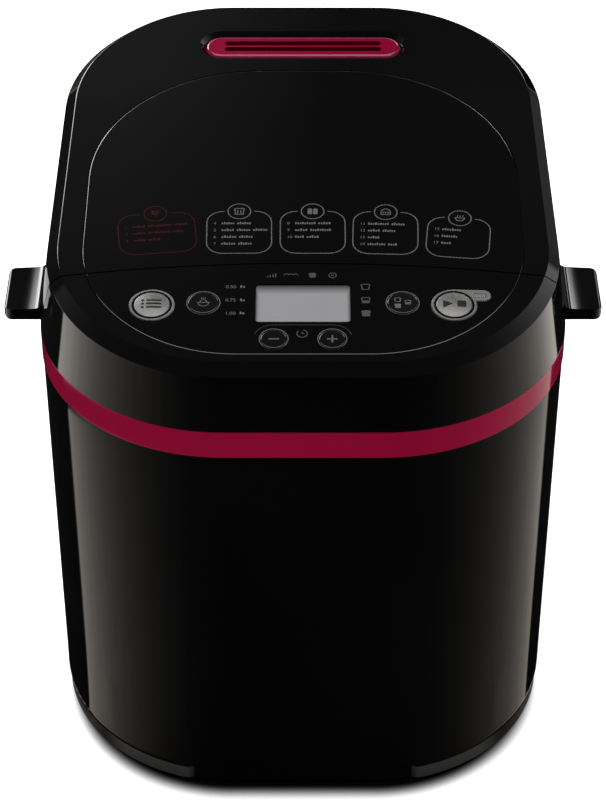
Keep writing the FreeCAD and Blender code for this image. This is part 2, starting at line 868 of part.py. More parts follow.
def make_vent_grille():
    grille = slot_prism(vent_length, vent_width, -vent_sink - vent_height, -vent_sink)
    rims = [edge for edge in grille.Edges if edge.BoundBox.ZMin > -vent_sink - 0.01]
    grille = grille.makeFillet(vent_edge, rims)
    tools = []
    for side in (-1, 1):
        slot = slot_prism(vent_slot_length, vent_slot_width, -20, 3)
        slot.translate(vec(0, side * (vent_rib + vent_slot_width) / 2, 0))
        tools.append(slot)
    return tilted(cut(grille, tools), 0, vent_y)


def make_lid_frame():
    low = frame_top() - 3
    inset = wall + (frame_top() - band_top) * lean + 0.4
    border = body_slab(inset, low, frame_top()).common(behind_seam(wall + 0.4))
    tools = [oven_plate(-1, low - 1, frame_top() + 1)]
    reach = barrel_half + knuckle_length + 6
    tools.append(block(-reach, reach, hinge_y - 8, 2 * hinge_y, low - 1, frame_top() + 1))
    for x, y in lid_screw_places():
        tools.append(rod(1.7, x, y, low - 1, frame_top() + 1))
        tools.append(rod(3.9, x, y, low - 1, low + 1.8))
    return cut(border, tools)


def make_lid_screws():
    low = frame_top() - 3
    screws = []
    for x, y in lid_screw_places():
        one = screw(3.5, 1.6, 1.45, 11)
        one.translate(vec(x, y, low + 1.8))
        screws.append(one)
    return Part.makeCompound(screws)


def oven_loft(low_grow, low, high_grow, high):
    wires = []
    for grow, z in ((low_grow, low), (high_grow, high)):
        half_y = oven_half_y + grow
        wires.append(round_rect(oven_half_x + grow, oven_y - half_y, oven_y + half_y, oven_radius + grow, z))
    return Part.makeLoft(wires, True, True)


def make_lid_liner():
    low = frame_top()
    high = low + 28
    flange = oven_plate(4, low, low + sheet)
    dome = oven_loft(-1.5, low, -5.5, high)
    crown = [edge for edge in dome.Edges if edge.BoundBox.ZMin > high - 0.01]
    dome = dome.makeFillet(4, crown)
    hollow = oven_loft(-1.5 - sheet, low, -5.5 - sheet, high - sheet)
    crown = [edge for edge in hollow.Edges if edge.BoundBox.ZMin > high - sheet - 0.01]
    hollow = hollow.makeFillet(4, crown)
    tools = [hollow]
    for index in range(9):
        tools.append(rod(2.5, -40 + index * 10, oven_back - 22, low, high + 5))
    return cut(fuse([flange, dome]), tools)


def make_baking_chamber():
    box = oven_plate(sheet, oven_floor, band_top + sheet)
    flange = oven_plate(9, band_top, band_top + sheet)
    hollow = oven_plate(0, oven_floor + sheet, band_top + 4)
    front = oven_front
    tools = [rod(15, 0, oven_y, oven_floor - 2, oven_floor + 3)]
    for x in heater_leads():
        start = vec(x, front - 4, heater_level)
        tools.append(Part.makeCylinder(heater_radius + 0.4, 8, start, vec(0, 1, 0)))
    tools.append(Part.makeCylinder(2.6, 8, vec(44, front - 4, probe_level()), vec(0, 1, 0)))
    return cut(fuse([box, flange]), [hollow] + tools)


def heater_leads():
    return [-16, 16]


def make_heating_element():
    half_x = oven_half_x - heater_margin
    front = oven_front + heater_margin
    back = oven_back - heater_margin
    bend = 24.0
    turn = 10.0
    z = heater_level
    left, right = heater_leads()
    outside = front - heater_margin - 14
    edges = [
        Part.makeLine(vec(right, outside, z), vec(right, front - turn, z)),
        Part.Arc(vec(right, front - turn, z),
                 vec(right + turn - turn * sqrt(0.5), front - turn + turn * sqrt(0.5), z),
                 vec(right + turn, front, z)).toShape(),
        Part.makeLine(vec(right + turn, front, z), vec(half_x - bend, front, z)),
        corner(half_x - bend, front + bend, bend, 270, z),
        Part.makeLine(vec(half_x, front + bend, z), vec(half_x, back - bend, z)),
        corner(half_x - bend, back - bend, bend, 0, z),
        Part.makeLine(vec(half_x - bend, back, z), vec(-half_x + bend, back, z)),
        corner(-half_x + bend, back - bend, bend, 90, z),
        Part.makeLine(vec(-half_x, back - bend, z), vec(-half_x, front + bend, z)),
        corner(-half_x + bend, front + bend, bend, 180, z),
        Part.makeLine(vec(-half_x + bend, front, z), vec(left - turn, front, z)),
        Part.Arc(vec(left - turn, front, z),
                 vec(left - turn + turn * sqrt(0.5), front - turn + turn * sqrt(0.5), z),
                 vec(left, front - turn, z)).toShape(),
        Part.makeLine(vec(left, front - turn, z), vec(left, outside, z)),
    ]
    path = Part.Wire(edges)
    section = Part.Wire(Part.makeCircle(heater_radius, vec(right, outside, z), vec(0, 1, 0)))
    return path.makePipeShell([section], True, True)


def make_heater_clips():
    clips = []
    half_x = oven_half_x - heater_margin
    back = oven_back - heater_margin
    grip = heater_radius + slip
    for side in (-1, 1):
        clip = block(-5, oven_half_x - half_x, -6, 6, -5, 5)
        clip = clip.cut(Part.makeCylinder(grip, 20, vec(0, -10, 0), vec(0, 1, 0)))
        clip = clip.cut(block(-8, 0, -10, 10, -2.2, 2.2))
        clip.translate(vec(half_x, oven_y, heater_level))
        if side < 0:
            clip = clip.mirror(vec(0, 0, 0), vec(1, 0, 0))
        clips.append(clip)
        rear = block(-6, 6, -5, heater_margin, -5, 5)
        rear = rear.cut(Part.makeCylinder(grip, 20, vec(-10, 0, 0), vec(1, 0, 0)))
        rear = rear.cut(block(-10, 10, -8, 0, -2.2, 2.2))
        rear.translate(vec(side * 44, back, heater_level))
        clips.append(rear)
    return Part.makeCompound(clips)


def probe_level():
    return (oven_floor + band_top) / 2


def make_probe():
    front = oven_front
    z = probe_level()
    stem = Part.makeCylinder(2.5, 22, vec(44, front - 12, z), vec(0, 1, 0))
    tip = [edge for edge in stem.Edges if edge.BoundBox.YMin > front + 9]
    stem = stem.makeFillet(1.2, tip)
    collar = Part.makeCylinder(6, 4, vec(44, front - sheet - 4, z), vec(0, 1, 0))
    return fuse([stem, collar])


def make_pan_seat():
    low = oven_floor + sheet
    inner = collar_radius + seat_play
    outer = inner + seat_wall
    flange = rod(outer + 9, 0, oven_y, low, low + 1.2)
    wall_ring = rod(outer, 0, oven_y, low, low + seat_height).cut(rod(inner, 0, oven_y, low, low + 20))
    ledge = rod(outer, 0, oven_y, low, low + 3)
    hole = rod(collar_radius - 6, 0, oven_y, low - 1, low + 20)
    gates = []
    for turn in (0, 120, 240):
        gate = block(inner - 4, outer + 13, -8, 8, low + 5, low + 20)
        gate.rotate(vec(0, 0, 0), vec(0, 0, 1), turn + 30)
        gate.translate(vec(0, oven_y, 0))
        gates.append(gate)
    return cut(fuse([flange, wall_ring, ledge]), [hole] + gates)


def make_bearing_housing():
    lower = rod(36, 0, oven_y, chassis_high, chassis_high + 3)
    upper = rod(30, 0, oven_y, oven_floor - 3, oven_floor)
    body = rod(14, 0, oven_y, chassis_low - 5, oven_floor + 4)
    ribs = []
    for turn in range(0, 360, 60):
        rib = block(10, 28, -1.5, 1.5, chassis_high, oven_floor)
        rib.rotate(vec(0, 0, 0), vec(0, 0, 1), turn)
        rib.translate(vec(0, oven_y, 0))
        ribs.append(rib)
    bore = rod(drive_radius + running, 0, oven_y, 0, pan_floor)
    return cut(fuse([lower, upper, body] + ribs), [bore])


def make_drive_shaft():
    low = belt_low - 4
    high = oven_floor + 8.5
    shaft = rod(drive_radius, 0, oven_y, low, high)
    ends = [edge for edge in shaft.Edges if edge.BoundBox.ZMax < low + 0.01]
    return shaft.makeChamfer(0.8, ends)


def make_drive_coupler():
    low = oven_floor + 4.5
    disc = rod(22, 0, oven_y, low, low + 4)
    dogs = []
    band = rod(21, 0, oven_y, low + 3, low + 11.5).cut(rod(15, 0, oven_y, low, low + 12))
    for side in (-1, 1):
        zone = block(-8, 8, min(0, side * 30), max(0, side * 30), low, low + 20)
        zone.translate(vec(0, oven_y, 0))
        dogs.append(band.common(zone))
    bore = rod(drive_radius + slip, 0, oven_y, 0, pan_rim)
    return fuse([disc] + dogs).cut(bore)


def make_driven_pulley():
    low = belt_low - 2
    high = belt_high + 2
    rim = rod(driven_groove + 2.5, 0, oven_y, low, high)
    track = rod(driven_groove + 5, 0, oven_y, belt_low - fit_gap, belt_high + fit_gap)
    track = track.cut(rod(driven_groove, 0, oven_y, low, high))
    well_high = rod(driven_groove - 4, 0, oven_y, low + 7.5, high + 1)
    well_low = rod(driven_groove - 4, 0, oven_y, low - 1, low + 4.5)
    hub = rod(11, 0, oven_y, low - 1, high + 1)
    tools = [rod(drive_radius + slip, 0, oven_y, 0, pan_rim)]
    for turn in range(6):
        angle = radians(60 * turn)
        tools.append(rod(8.5, 27 * cos(angle), oven_y + 27 * sin(angle), 0, pan_rim))
    return cut(fuse([cut(rim, [track, well_high, well_low]), hub]), tools)


def make_drive_belt():
    inner = loop_prism((0, oven_y), driven_groove + fit_gap, (0, motor_y), motor_groove + fit_gap,
                       belt_low, belt_high)
    outer = loop_prism((0, oven_y), driven_groove + fit_gap + belt_thickness, (0, motor_y),
                       motor_groove + fit_gap + belt_thickness, belt_low, belt_high)
    return outer.cut(inner)


def make_motor_pulley():
    low = belt_low - 2
    high = belt_high + 2
    wheel = rod(motor_groove + 3, 0, motor_y, low, high)
    track = rod(motor_groove + 6, 0, motor_y, belt_low - fit_gap, belt_high + fit_gap)
    track = track.cut(rod(motor_groove, 0, motor_y, low, high))
    return cut(wheel, [track, rod(motor_shaft_radius + slip, 0, motor_y, 0, pan_rim)])


def make_motor_shaft():
    low = chassis_high + motor_bell + 1
    drum = rod(rotor_radius, 0, motor_y, low, low + motor_stack - 2)
    drum = drum.makeChamfer(0.8, [edge for edge in drum.Edges if edge.BoundBox.ZLength < 0.01])
    return fuse([rod(motor_shaft_radius, 0, motor_y, belt_low - 4, motor_top() + 14), drum])


def motor_top():
    return chassis_high + 2 * motor_bell + motor_stack


def make_motor_fan():
    low = motor_top() + 6
    hub = rod(7, 0, motor_y, low, low + 8)
    disc = rod(27, 0, motor_y, low, low + 1.5)
    blades = []
    for turn in range(0, 360, 45):
        blade = block(5, 26, -0.8, 0.8, low, low + 8)
        blade.rotate(vec(0, 0, 0), vec(0, 0, 1), turn)
        blade.translate(vec(0, motor_y, 0))
        blades.append(blade)
    return fuse([hub, disc] + blades).cut(rod(motor_shaft_radius + slip, 0, motor_y, 0, low + 20))


def motor_plate(inset, radius, low, high):
    half = motor_half - inset
    return plate(half, motor_y - half, motor_y + half, radius, low, high)


def motor_cup(low, high, hollow_low, hollow_high):
    """End bell of the motor, open towards the stack, with an air window in each side."""
    tools = [motor_plate(2 + motor_wall, 22 - motor_wall, hollow_low, hollow_high)]
    for turn in range(0, 360, 90):
        window = block(-15, 15, -motor_half - 1, -motor_half + 8, hollow_low + 2, hollow_high - 2)
        window.rotate(vec(0, 0, 0), vec(0, 0, 1), turn)
        window.translate(vec(0, motor_y, 0))
        tools.append(window)
    return cut(motor_plate(2, 22, low, high), tools)


def make_motor_case():
    stack_low = chassis_high + motor_bell
    stack_high = stack_low + motor_stack
    top = motor_top()
    stack = motor_plate(0, 12, stack_low, stack_high)
    lower = motor_cup(chassis_high, stack_low, chassis_high + motor_wall, stack_low)
    upper = motor_cup(stack_high, top, stack_high, top - motor_wall)
    lower_bearing = rod(10, 0, motor_y, chassis_high, stack_low - 3)
    upper_bearing = rod(10, 0, motor_y, stack_high + 3, top + 4)
    tools = [rod(motor_shaft_radius + running, 0, motor_y, 0, top + 30)]
    tools.append(rod(rotor_radius + rotor_gap, 0, motor_y, stack_low - 1, stack_high + 1))
    for turn in range(4):
        angle = radians(45 + 90 * turn)
        tools.append(rod(5, 24 * cos(angle), motor_y + 24 * sin(angle), stack_high + 1, top + 1))
    return cut(fuse([stack, lower, upper, lower_bearing, upper_bearing]), tools)


def make_chassis():
    front = motor_y - 42
    back = oven_y + driven_groove + 12
    low = chassis_low - 1
    high = chassis_high + 1
    tray = plate(driven_groove + 8, front, back, 16, chassis_low, chassis_high)
    tools = [rod(14 + fit_gap, 0, oven_y, low, high), rod(13, 0, motor_y, low, high)]
    for x, y in chassis_posts():
        tools.append(rod(2.2, x, y, low, high))
    for x in (-30, 30):
        window = slot_prism(26, 14, low, high)
        window.translate(vec(x, (oven_y - 36 + motor_y + 34) / 2, 0))
        tools.append(window)
    return cut(tray, tools)


def make_chassis_screws():
    screws = []
    for x, y in chassis_posts():
        one = screw(4, 2.6, 1.75, 12)
        one.rotate(vec(0, 0, 0), vec(1, 0, 0), 180)
        one.translate(vec(x, y, chassis_high))
        screws.append(one)
    return Part.makeCompound(screws)


def make_base_screws():
    screws = []
    for x, y in base_screw_places():
        one = screw(3.8, 2.2, 1.85, 17)
        one.translate(vec(x, y, base_level + 1))
        screws.append(one)
    return Part.makeCompound(screws)


def pan_wire(grow, z):
    share = (z - pan_floor) / (pan_rim - pan_floor)
    shrink = pan_taper * (1 - share)
    half_x = pan_top_half_x - shrink + grow
    half_y = pan_top_half_y - shrink + grow
    return round_rect(half_x, oven_y - half_y, oven_y + half_y, pan_radius - shrink + grow, z)


def pan_solid(grow, low, high, bend):
    solid = Part.makeLoft([pan_wire(grow, low), pan_wire(grow, high)], True, True)
    rims = [edge for edge in solid.Edges if edge.BoundBox.ZMax < low + 0.01]
    return solid.makeFillet(bend, rims)


def make_bread_pan():
    outer = pan_solid(pan_wall, pan_floor - pan_wall, pan_rim, 8)
    inner = pan_solid(0, pan_floor, pan_rim + 1, 6.6)
    rim = Part.Face(pan_wire(pan_wall + rim_width, pan_rim - 2.4)).extrude(vec(0, 0, 2.4))
    edges = [edge for edge in rim.Edges if edge.BoundBox.ZMax - edge.BoundBox.ZMin < 1e-6]
    rim = rim.makeFillet(1.1, edges)
    hole = rod(12, 0, oven_y, oven_floor, pan_floor + 10)
    return cut(fuse([outer, rim]), [inner, hole])


def make_pan_ears():
    ears = []
    inner = ear_face
    outer = ear_face + ear_thickness
    for side in (-1, 1):
        foot = block(inner, inner + 4.5, oven_y - 12, oven_y + 12, pan_rim, pan_rim + 1.5)
        upright = block(inner, outer, oven_y - 7, oven_y + 7, pan_rim, bail_level)
        crown = cross_rod(7, inner, outer, oven_y, bail_level)
        hole = cross_rod(bail_radius + running, inner - 4, outer + 4, oven_y, bail_level)
        ear = fuse([foot, upright, crown]).cut(hole)
        if side < 0:
            ear = ear.mirror(vec(0, 0, 0), vec(1, 0, 0))
        ears.append(ear)
    return Part.makeCompound(ears)


def make_bail():
    z = bail_level
    end = ear_face + ear_thickness + 2
    front = oven_y - bail_reach
    small = bail_play + bail_radius - 0.2
    large = bail_bend
    edges = [
        Part.makeLine(vec(end, oven_y, z), vec(bail_half + small, oven_y, z)),
        Part.Arc(vec(bail_half + small, oven_y, z),
                 vec(bail_half + small - small * sqrt(0.5), oven_y - small + small * sqrt(0.5), z),
                 vec(bail_half, oven_y - small, z)).toShape(),
        Part.makeLine(vec(bail_half, oven_y - small, z), vec(bail_half, front + large, z)),
        Part.Arc(vec(bail_half, front + large, z),
                 vec(bail_half - large + large * sqrt(0.5), front + large - large * sqrt(0.5), z),
                 vec(bail_half - large, front, z)).toShape(),
        Part.makeLine(vec(bail_half - large, front, z), vec(0, front, z)),
    ]
    path = Part.Wire(edges)
    section = Part.Wire(Part.makeCircle(bail_radius, vec(end, oven_y, z), vec(1, 0, 0)))
    half = path.makePipeShell([section], True, True)
    return fuse([half, half.mirror(vec(0, 0, 0), vec(1, 0, 0))])


def make_pan_collar():
    low = oven_floor + sheet + 3
    high = pan_floor - pan_wall
    ring = rod(collar_radius, 0, oven_y, low, high)
    flange = rod(collar_radius + 5, 0, oven_y, high - 2, high)
    return fuse([ring, flange]).cut(rod(collar_radius - collar_wall, 0, oven_y, low - 1, high + 1))


def make_pan_bush():
    under = pan_floor - pan_wall
    head = rod(15, 0, oven_y, pan_floor, pan_floor + 3)
    rims = [edge for edge in head.Edges if edge.BoundBox.ZMin > pan_floor + 2.9]
    head = head.makeChamfer(1.2, rims)
    body = rod(12 - slip, 0, oven_y, under - 2, pan_floor + 1)
    nut = rod(14.5, 0, oven_y, under - 2.4, under)
    bore = rod(pan_shaft_radius + running, 0, oven_y, oven_floor, pan_rim)
    return fuse([head, body, nut]).cut(bore)


def make_pan_shaft():
    low = oven_floor + 9
    high = pan_floor + 33
    shaft = rod(pan_shaft_radius, 0, oven_y, low, high)
    ends = [edge for edge in shaft.Edges if edge.BoundBox.ZMin > high - 0.01]
    shaft = shaft.makeChamfer(0.8, ends)
    return shaft.cut(block(pan_shaft_radius - 1, 10, oven_y - 10, oven_y + 10, pan_floor + 6, high + 1))


def make_pan_coupler():
    low = oven_floor + 9
    hub = rod(9, 0, oven_y, low, low + 6)
    arm = slot_prism(40, 9, low, low + 5)
    arm.translate(vec(0, oven_y, 0))
    return fuse([hub, arm]).cut(rod(pan_shaft_radius + slip, 0, oven_y, oven_floor, pan_floor + 20))


def make_paddle():
    low = pan_floor + 3.4
    high = low + 27
    hub = Part.makeCone(11, 8.5, high - low, vec(0, oven_y, low))
    points = [(0, low), (47, low), (47, low + 13), (14, low + 25), (0, low + 25)]
    blade = Part.makePolygon([vec(x, oven_y - 2.5, z) for x, z in points + points[:1]])
    fin = Part.Face(blade).extrude(vec(0, 5, 0))
    tips = [edge for edge in fin.Edges if edge.BoundBox.XMin > 46.9 and edge.BoundBox.YLength > 4]
    fin = fin.makeFillet(5.5, tips)
    sides = [edge for edge in fin.Edges if edge.BoundBox.YLength < 0.01 and edge.BoundBox.XMax > 20]
    fin = fin.makeFillet(1.6, sides)
    bore = rod(pan_shaft_radius + running, 0, oven_y, oven_floor, pan_rim)
    flat = block(pan_shaft_radius - 1 + running, 10, oven_y - 10, oven_y + 10, pan_floor + 6, pan_rim)
    return fuse([hub, fin]).cut(bore.cut(flat))


pieces = {
    "base_plate": make_base_plate(),
    "foot_pads": make_foot_pads(),
    "base_screws": make_base_screws(),
    "lower_shell": make_lower_shell(),
    "cord_gland": make_cord_gland(),
    "accent_band": make_accent_band(),
    "top_frame": make_top_frame(),
    "hinge_pins": make_hinge_pins(),
    "front_housing": make_front_housing(),
    "control_panel": make_control_panel(),
    "display_lens": make_display_lens(),
    "display_module": make_display_module(),
    "menu_ring": make_menu_ring(),
    "start_ring": make_start_ring(),
    "start_lamp": make_start_lamp(),
    "control_board": make_control_board(),
    "board_screws": make_board_screws(),
    "switches": make_switches(),
    "power_board": power_board_block(0),
    "power_parts": make_power_parts(),
    "lid_cover": make_lid_cover(),
    "lid_panel": make_lid_panel(),
    "left_tab": make_lift_tab(-1),
    "right_tab": make_lift_tab(1),
    "vent_grille": make_vent_grille(),
    "lid_frame": make_lid_frame(),
    "lid_screws": make_lid_screws(),
    "lid_liner": make_lid_liner(),
    "baking_chamber": make_baking_chamber(),
    "heating_element": make_heating_element(),
    "heater_clips": make_heater_clips(),
    "oven_probe": make_probe(),
    "pan_seat": make_pan_seat(),
    "bearing_housing": make_bearing_housing(),
    "drive_shaft": make_drive_shaft(),
    "drive_coupler": make_drive_coupler(),
    "driven_pulley": make_driven_pulley(),
    "drive_belt": make_drive_belt(),
    "motor_pulley": make_motor_pulley(),
    "motor_shaft": make_motor_shaft(),
    "motor_fan": make_motor_fan(),
    "motor_case": make_motor_case(),
    "chassis": make_chassis(),
    "chassis_screws": make_chassis_screws(),
    "bread_pan": make_bread_pan(),
    "pan_ears": make_pan_ears(),
    "bail_handle": make_bail(),
    "pan_collar": make_pan_collar(),
    "pan_bush": make_pan_bush(),
    "pan_shaft": make_pan_shaft(),
    "pan_coupler": make_pan_coupler(),
    "paddle": make_paddle(),
}
for name in controls:
    pieces[name] = make_button(name)

for name, shape in pieces.items():
    shape.exportStep("parts/" + name + ".step")
    print(name, len(shape.Solids), shape.isValid(), round(shape.Volume / 1000, 1))
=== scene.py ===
import json
from math import cos, radians, sin, tan

import bmesh
import bpy
from mathutils import Matrix, Vector


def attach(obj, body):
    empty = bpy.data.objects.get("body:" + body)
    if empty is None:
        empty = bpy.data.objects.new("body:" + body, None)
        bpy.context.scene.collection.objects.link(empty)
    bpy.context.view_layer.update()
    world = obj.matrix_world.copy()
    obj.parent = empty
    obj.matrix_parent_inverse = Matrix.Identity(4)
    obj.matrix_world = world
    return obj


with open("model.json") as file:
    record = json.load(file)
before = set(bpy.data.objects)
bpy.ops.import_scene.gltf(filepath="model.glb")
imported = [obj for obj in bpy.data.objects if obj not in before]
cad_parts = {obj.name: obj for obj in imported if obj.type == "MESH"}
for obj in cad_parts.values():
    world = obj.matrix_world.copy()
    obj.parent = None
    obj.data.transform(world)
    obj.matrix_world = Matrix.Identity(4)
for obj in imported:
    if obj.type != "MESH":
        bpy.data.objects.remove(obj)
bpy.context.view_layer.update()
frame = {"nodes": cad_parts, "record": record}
nodes = frame["nodes"]
print("frame loaded:", len(nodes), "nodes")

# print is drawn in millimetres and brought to metres by this; floor, light and camera are in metres
mm = 0.001

# the sloped plane that control panel and lid panel share
topPlane = {"slope": radians(6.2), "frontY": -142.4, "frontZ": 280.0}


# tools that build the shaders

class Wire:
    # one socket of a finish, with the sums that the finishes use
    def __init__(self, finish, socket):
        self.finish = finish
        self.socket = socket

    def __add__(self, other):
        return self.finish.sum("ADD", self, other)

    def __radd__(self, other):
        return self.finish.sum("ADD", other, self)

    def __sub__(self, other):
        return self.finish.sum("SUBTRACT", self, other)

    def __rsub__(self, other):
        return self.finish.sum("SUBTRACT", other, self)

    def __mul__(self, other):
        return self.finish.sum("MULTIPLY", self, other)

    def __rmul__(self, other):
        return self.finish.sum("MULTIPLY", other, self)

    def __truediv__(self, other):
        return self.finish.sum("DIVIDE", self, other)

    def __pow__(self, other):
        return self.finish.sum("POWER", self, other)


class Finish:
    # one material: a Principled shader and what feeds it
    def __init__(self, name, **fixed):
        self.material = bpy.data.materials.new(name)
        self.material.use_nodes = True
        self.tree = self.material.node_tree
        self.shader = self.tree.nodes["Principled BSDF"]
        for key, value in fixed.items():
            self.shader.inputs[key.replace("_", " ")].default_value = value

    def feed(self, socket, value):
        if isinstance(value, Wire):
            self.tree.links.new(value.socket, socket)
        else:
            socket.default_value = value

    def add(self, kind, settings=None, inputs=None, out=0):
        node = self.tree.nodes.new(kind)
        for key, value in (settings or {}).items():
            if key == "stops":
                self.setStops(node.color_ramp.elements, value)
            else:
                setattr(node, key, value)
        for key, value in (inputs or {}).items():
            self.feed(node.inputs[key], value)
        return Wire(self, node.outputs[out])

    def setStops(self, elements, stops):
        # a new ramp already has its first two stops
        for index, (place, colour) in enumerate(stops):
            stop = elements[index] if index < 2 else elements.new(place)
            stop.position = place
            stop.color = (*colour, 1)

    def sum(self, operation, first, second):
        return self.add("ShaderNodeMath", {"operation": operation}, {0: first, 1: second})

    def positive(self, value):
        return self.add("ShaderNodeMath", {"operation": "ABSOLUTE"}, {0: value})

    def place(self):
        return self.add("ShaderNodeTexCoord", out=3)

    def axes(self, vector=None):
        # x, y and z of a vector, by default of the place on the object
        split = self.add("ShaderNodeSeparateXYZ", None, {0: vector or self.place()})
        return [Wire(self, socket) for socket in split.socket.node.outputs]

    def stretched(self, scale):
        return self.add("ShaderNodeMapping", None, {"Vector": self.place(), "Scale": scale})

    def noise(self, scale, detail=3.0, vector=None):
        return self.add("ShaderNodeTexNoise", None, {
            "Vector": vector or self.place(), "Scale": scale, "Detail": detail})

    def spread(self, value, low, high, start=0.0, end=1.0):
        # value between low and high becomes start to end
        return self.add("ShaderNodeMapRange", None, {
            "Value": value, "From Min": low, "From Max": high, "To Min": start, "To Max": end})

    def blend(self, factor, first, second):
        return self.add("ShaderNodeMix", {"data_type": "RGBA"}, {
            0: factor, 6: (*first, 1) if isinstance(first, tuple) else first,
            7: (*second, 1) if isinstance(second, tuple) else second}, out=2)

    def colour(self, value):
        self.feed(self.shader.inputs["Base Color"], value)

    def rough(self, value):
        self.feed(self.shader.inputs["Roughness"], value)

    def roughBetween(self, factor, low, high):
        self.rough(low + factor * (high - low))

    def relief(self, height, strength, distance):
        bump = self.add("ShaderNodeBump", None, {
            "Height": height, "Strength": strength, "Distance": distance})
        self.feed(self.shader.inputs["Normal"], bump)


# how every moulding varies: slow drift of its colour, patches that hands have touched, depth of its skin
mouldingLook = {"drift": 9.0, "driftRange": (0.35, 0.65), "touch": 34.0, "touchRange": (0.42, 0.72),
                "skin": 0.0001}


def slowDrift(finish):
    return finish.spread(finish.noise(mouldingLook["drift"], 2.0), *mouldingLook["driftRange"])


def touched(finish):
    return finish.noise(mouldingLook["touch"], 4.0)


def plastic(name, dark, light, rough, grain, grainScale, **fixed):
    # moulded plastic: slow colour drift, handled patches of gloss, fine skin
    finish = Finish(name, **fixed)
    finish.colour(finish.blend(slowDrift(finish), dark, light))
    finish.roughBetween(finish.spread(touched(finish), *mouldingLook["touchRange"]), *rough)
    finish.relief(finish.noise(grainScale, 2.0), grain, mouldingLook["skin"])
    return finish.material


# painted light: the band is painted lighter and the vent darker, lit and shaded copies of one crimson; the
# colours change at the heights between band and vent
crimsonLook = {"band": ((0.335, 0.0034, 0.041), (0.370, 0.0042, 0.047)),
               "vent": ((0.150, 0.0009, 0.019), (0.172, 0.0012, 0.023)),
               "between": (0.262, 0.290), "rough": (0.04, 0.08), "grain": 0.01, "grainScale": 800.0}


def crimsonPlastic(name):
    # deep red gloss, painted a shade darker on the vent in the lid than on the band, standing in for how
    # light falls on each
    finish = Finish(name, IOR=1.42)
    drift = slowDrift(finish)
    band = finish.blend(drift, *crimsonLook["band"])
    vent = finish.blend(drift, *crimsonLook["vent"])
    height = finish.axes()[2]
    # painted light: by height, the lighter band colour gives way to the darker vent colour
    finish.colour(finish.blend(finish.spread(height, *crimsonLook["between"]), band, vent))
    finish.roughBetween(touched(finish), *crimsonLook["rough"])
    finish.relief(finish.noise(crimsonLook["grainScale"], 2.0), crimsonLook["grain"], mouldingLook["skin"])
    return finish.material


# how brushed metal varies: the shares of lines and clouds in its colour, and the depth of its lines
brushedLook = {"lines": 0.6, "clouds": 0.4, "cloudScale": 22.0, "colourRange": (0.36, 0.64),
               "roughRange": (0.3, 0.7), "grain": 0.08, "depth": 0.00005}


def brushed(name, dark, light, rough, stretch):
    # bare metal with fine lines along one direction and faint clouds
    finish = Finish(name, Metallic=1.0)
    lines = finish.noise(1.0, 3.0, finish.stretched(stretch))
    clouds = finish.noise(brushedLook["cloudScale"])
    mixed = lines * brushedLook["lines"] + clouds * brushedLook["clouds"]
    finish.colour(finish.blend(finish.spread(mixed, *brushedLook["colourRange"]), dark, light))
    finish.rough(finish.spread(lines, *brushedLook["roughRange"], *rough))
    finish.relief(lines, brushedLook["grain"], brushedLook["depth"])
    return finish.material


# non-stick coat of the pan: its two tones, and the fleck with its size and how much of it shows
panLook = {"coat": ((0.044, 0.044, 0.047), (0.068, 0.068, 0.072)), "clouds": 30.0, "cloudRange": (0.35, 0.7),
           "fleck": (0.24, 0.24, 0.25), "fleckScale": 900.0, "fleckSize": (0.16, 0.1), "fleckShare": 0.45,
           "rough": (0.30, 0.42), "grain": 0.12, "grainScale": 1400.0}


def coatedPan(name):
    # dark non-stick coat with a fine pale fleck
    finish = Finish(name, IOR=1.45)
    fleck = finish.add("ShaderNodeTexVoronoi", None, {
        "Vector": finish.place(), "Scale": panLook["fleckScale"]})
    spots = finish.spread(fleck, *panLook["fleckSize"])
    clouds = finish.spread(finish.noise(panLook["clouds"], 4.0), *panLook["cloudRange"])
    coat = finish.blend(clouds, *panLook["coat"])
    finish.colour(finish.blend(spots * panLook["fleckShare"], coat, panLook["fleck"]))
    finish.roughBetween(clouds, *panLook["rough"])
    finish.relief(finish.noise(panLook["grainScale"], 2.0), panLook["grain"], mouldingLook["skin"])
    return finish.material


# painted light: the foot skirts are painted a lighter grey to stand in for the light they catch, and painted
# shade fades them out along the sides; they lie outside the plinth in x and y and end at their top
grainedLook = {"skin": ((0.0040, 0.0040, 0.0043), (0.0065, 0.0065, 0.0069)), "rough": (0.42, 0.55),
               "grain": 0.2, "grainScale": 1500.0, "coat": 0.5, "lidFrom": (0.20, 0.21),
               "skirt": (0.066, 0.066, 0.062), "skirtX": (0.0575, 0.059), "skirtFade": (0.107, 0.095),
               "skirtY": (0.0615, 0.063), "skirtTop": (0.012, 0.011)}


def grainedPlastic(name):
    # dull black moulding; painted light makes it greyer on the foot skirts at the corners, satin up inside
    # the lid
    finish = Finish(name, IOR=1.42, Specular_IOR_Level=0.1, Coat_Roughness=0.2)
    skin = finish.blend(slowDrift(finish), *grainedLook["skin"])
    finish.roughBetween(touched(finish), *grainedLook["rough"])
    finish.relief(finish.noise(grainedLook["grainScale"], 2.0), grainedLook["grain"], mouldingLook["skin"])
    x, y, z = finish.axes()
    aside = finish.positive(x)
    along = finish.positive(y)
    # painted light: a lighter grey on the foot skirts, faded out along the sides by painted shade
    skirt = finish.spread(aside, *grainedLook["skirtX"]) * finish.spread(along, *grainedLook["skirtY"])
    skirt = skirt * finish.spread(z, *grainedLook["skirtTop"])
    skirt = skirt * finish.spread(aside, *grainedLook["skirtFade"])
    finish.colour(finish.blend(skirt, skin, grainedLook["skirt"]))
    satin = skirt + finish.spread(z, *grainedLook["lidFrom"])
    finish.feed(finish.shader.inputs["Coat Weight"], satin * grainedLook["coat"])
    return finish.material


heaterLook = {"tints": [(0.34, (0.10, 0.09, 0.08)), (0.66, (0.20, 0.155, 0.10)), (0.5, (0.13, 0.12, 0.12))],
              "tintScale": 38.0, "rough": (0.38, 0.58), "roughScale": 160.0,
              "grain": 0.15, "grainScale": 700.0}


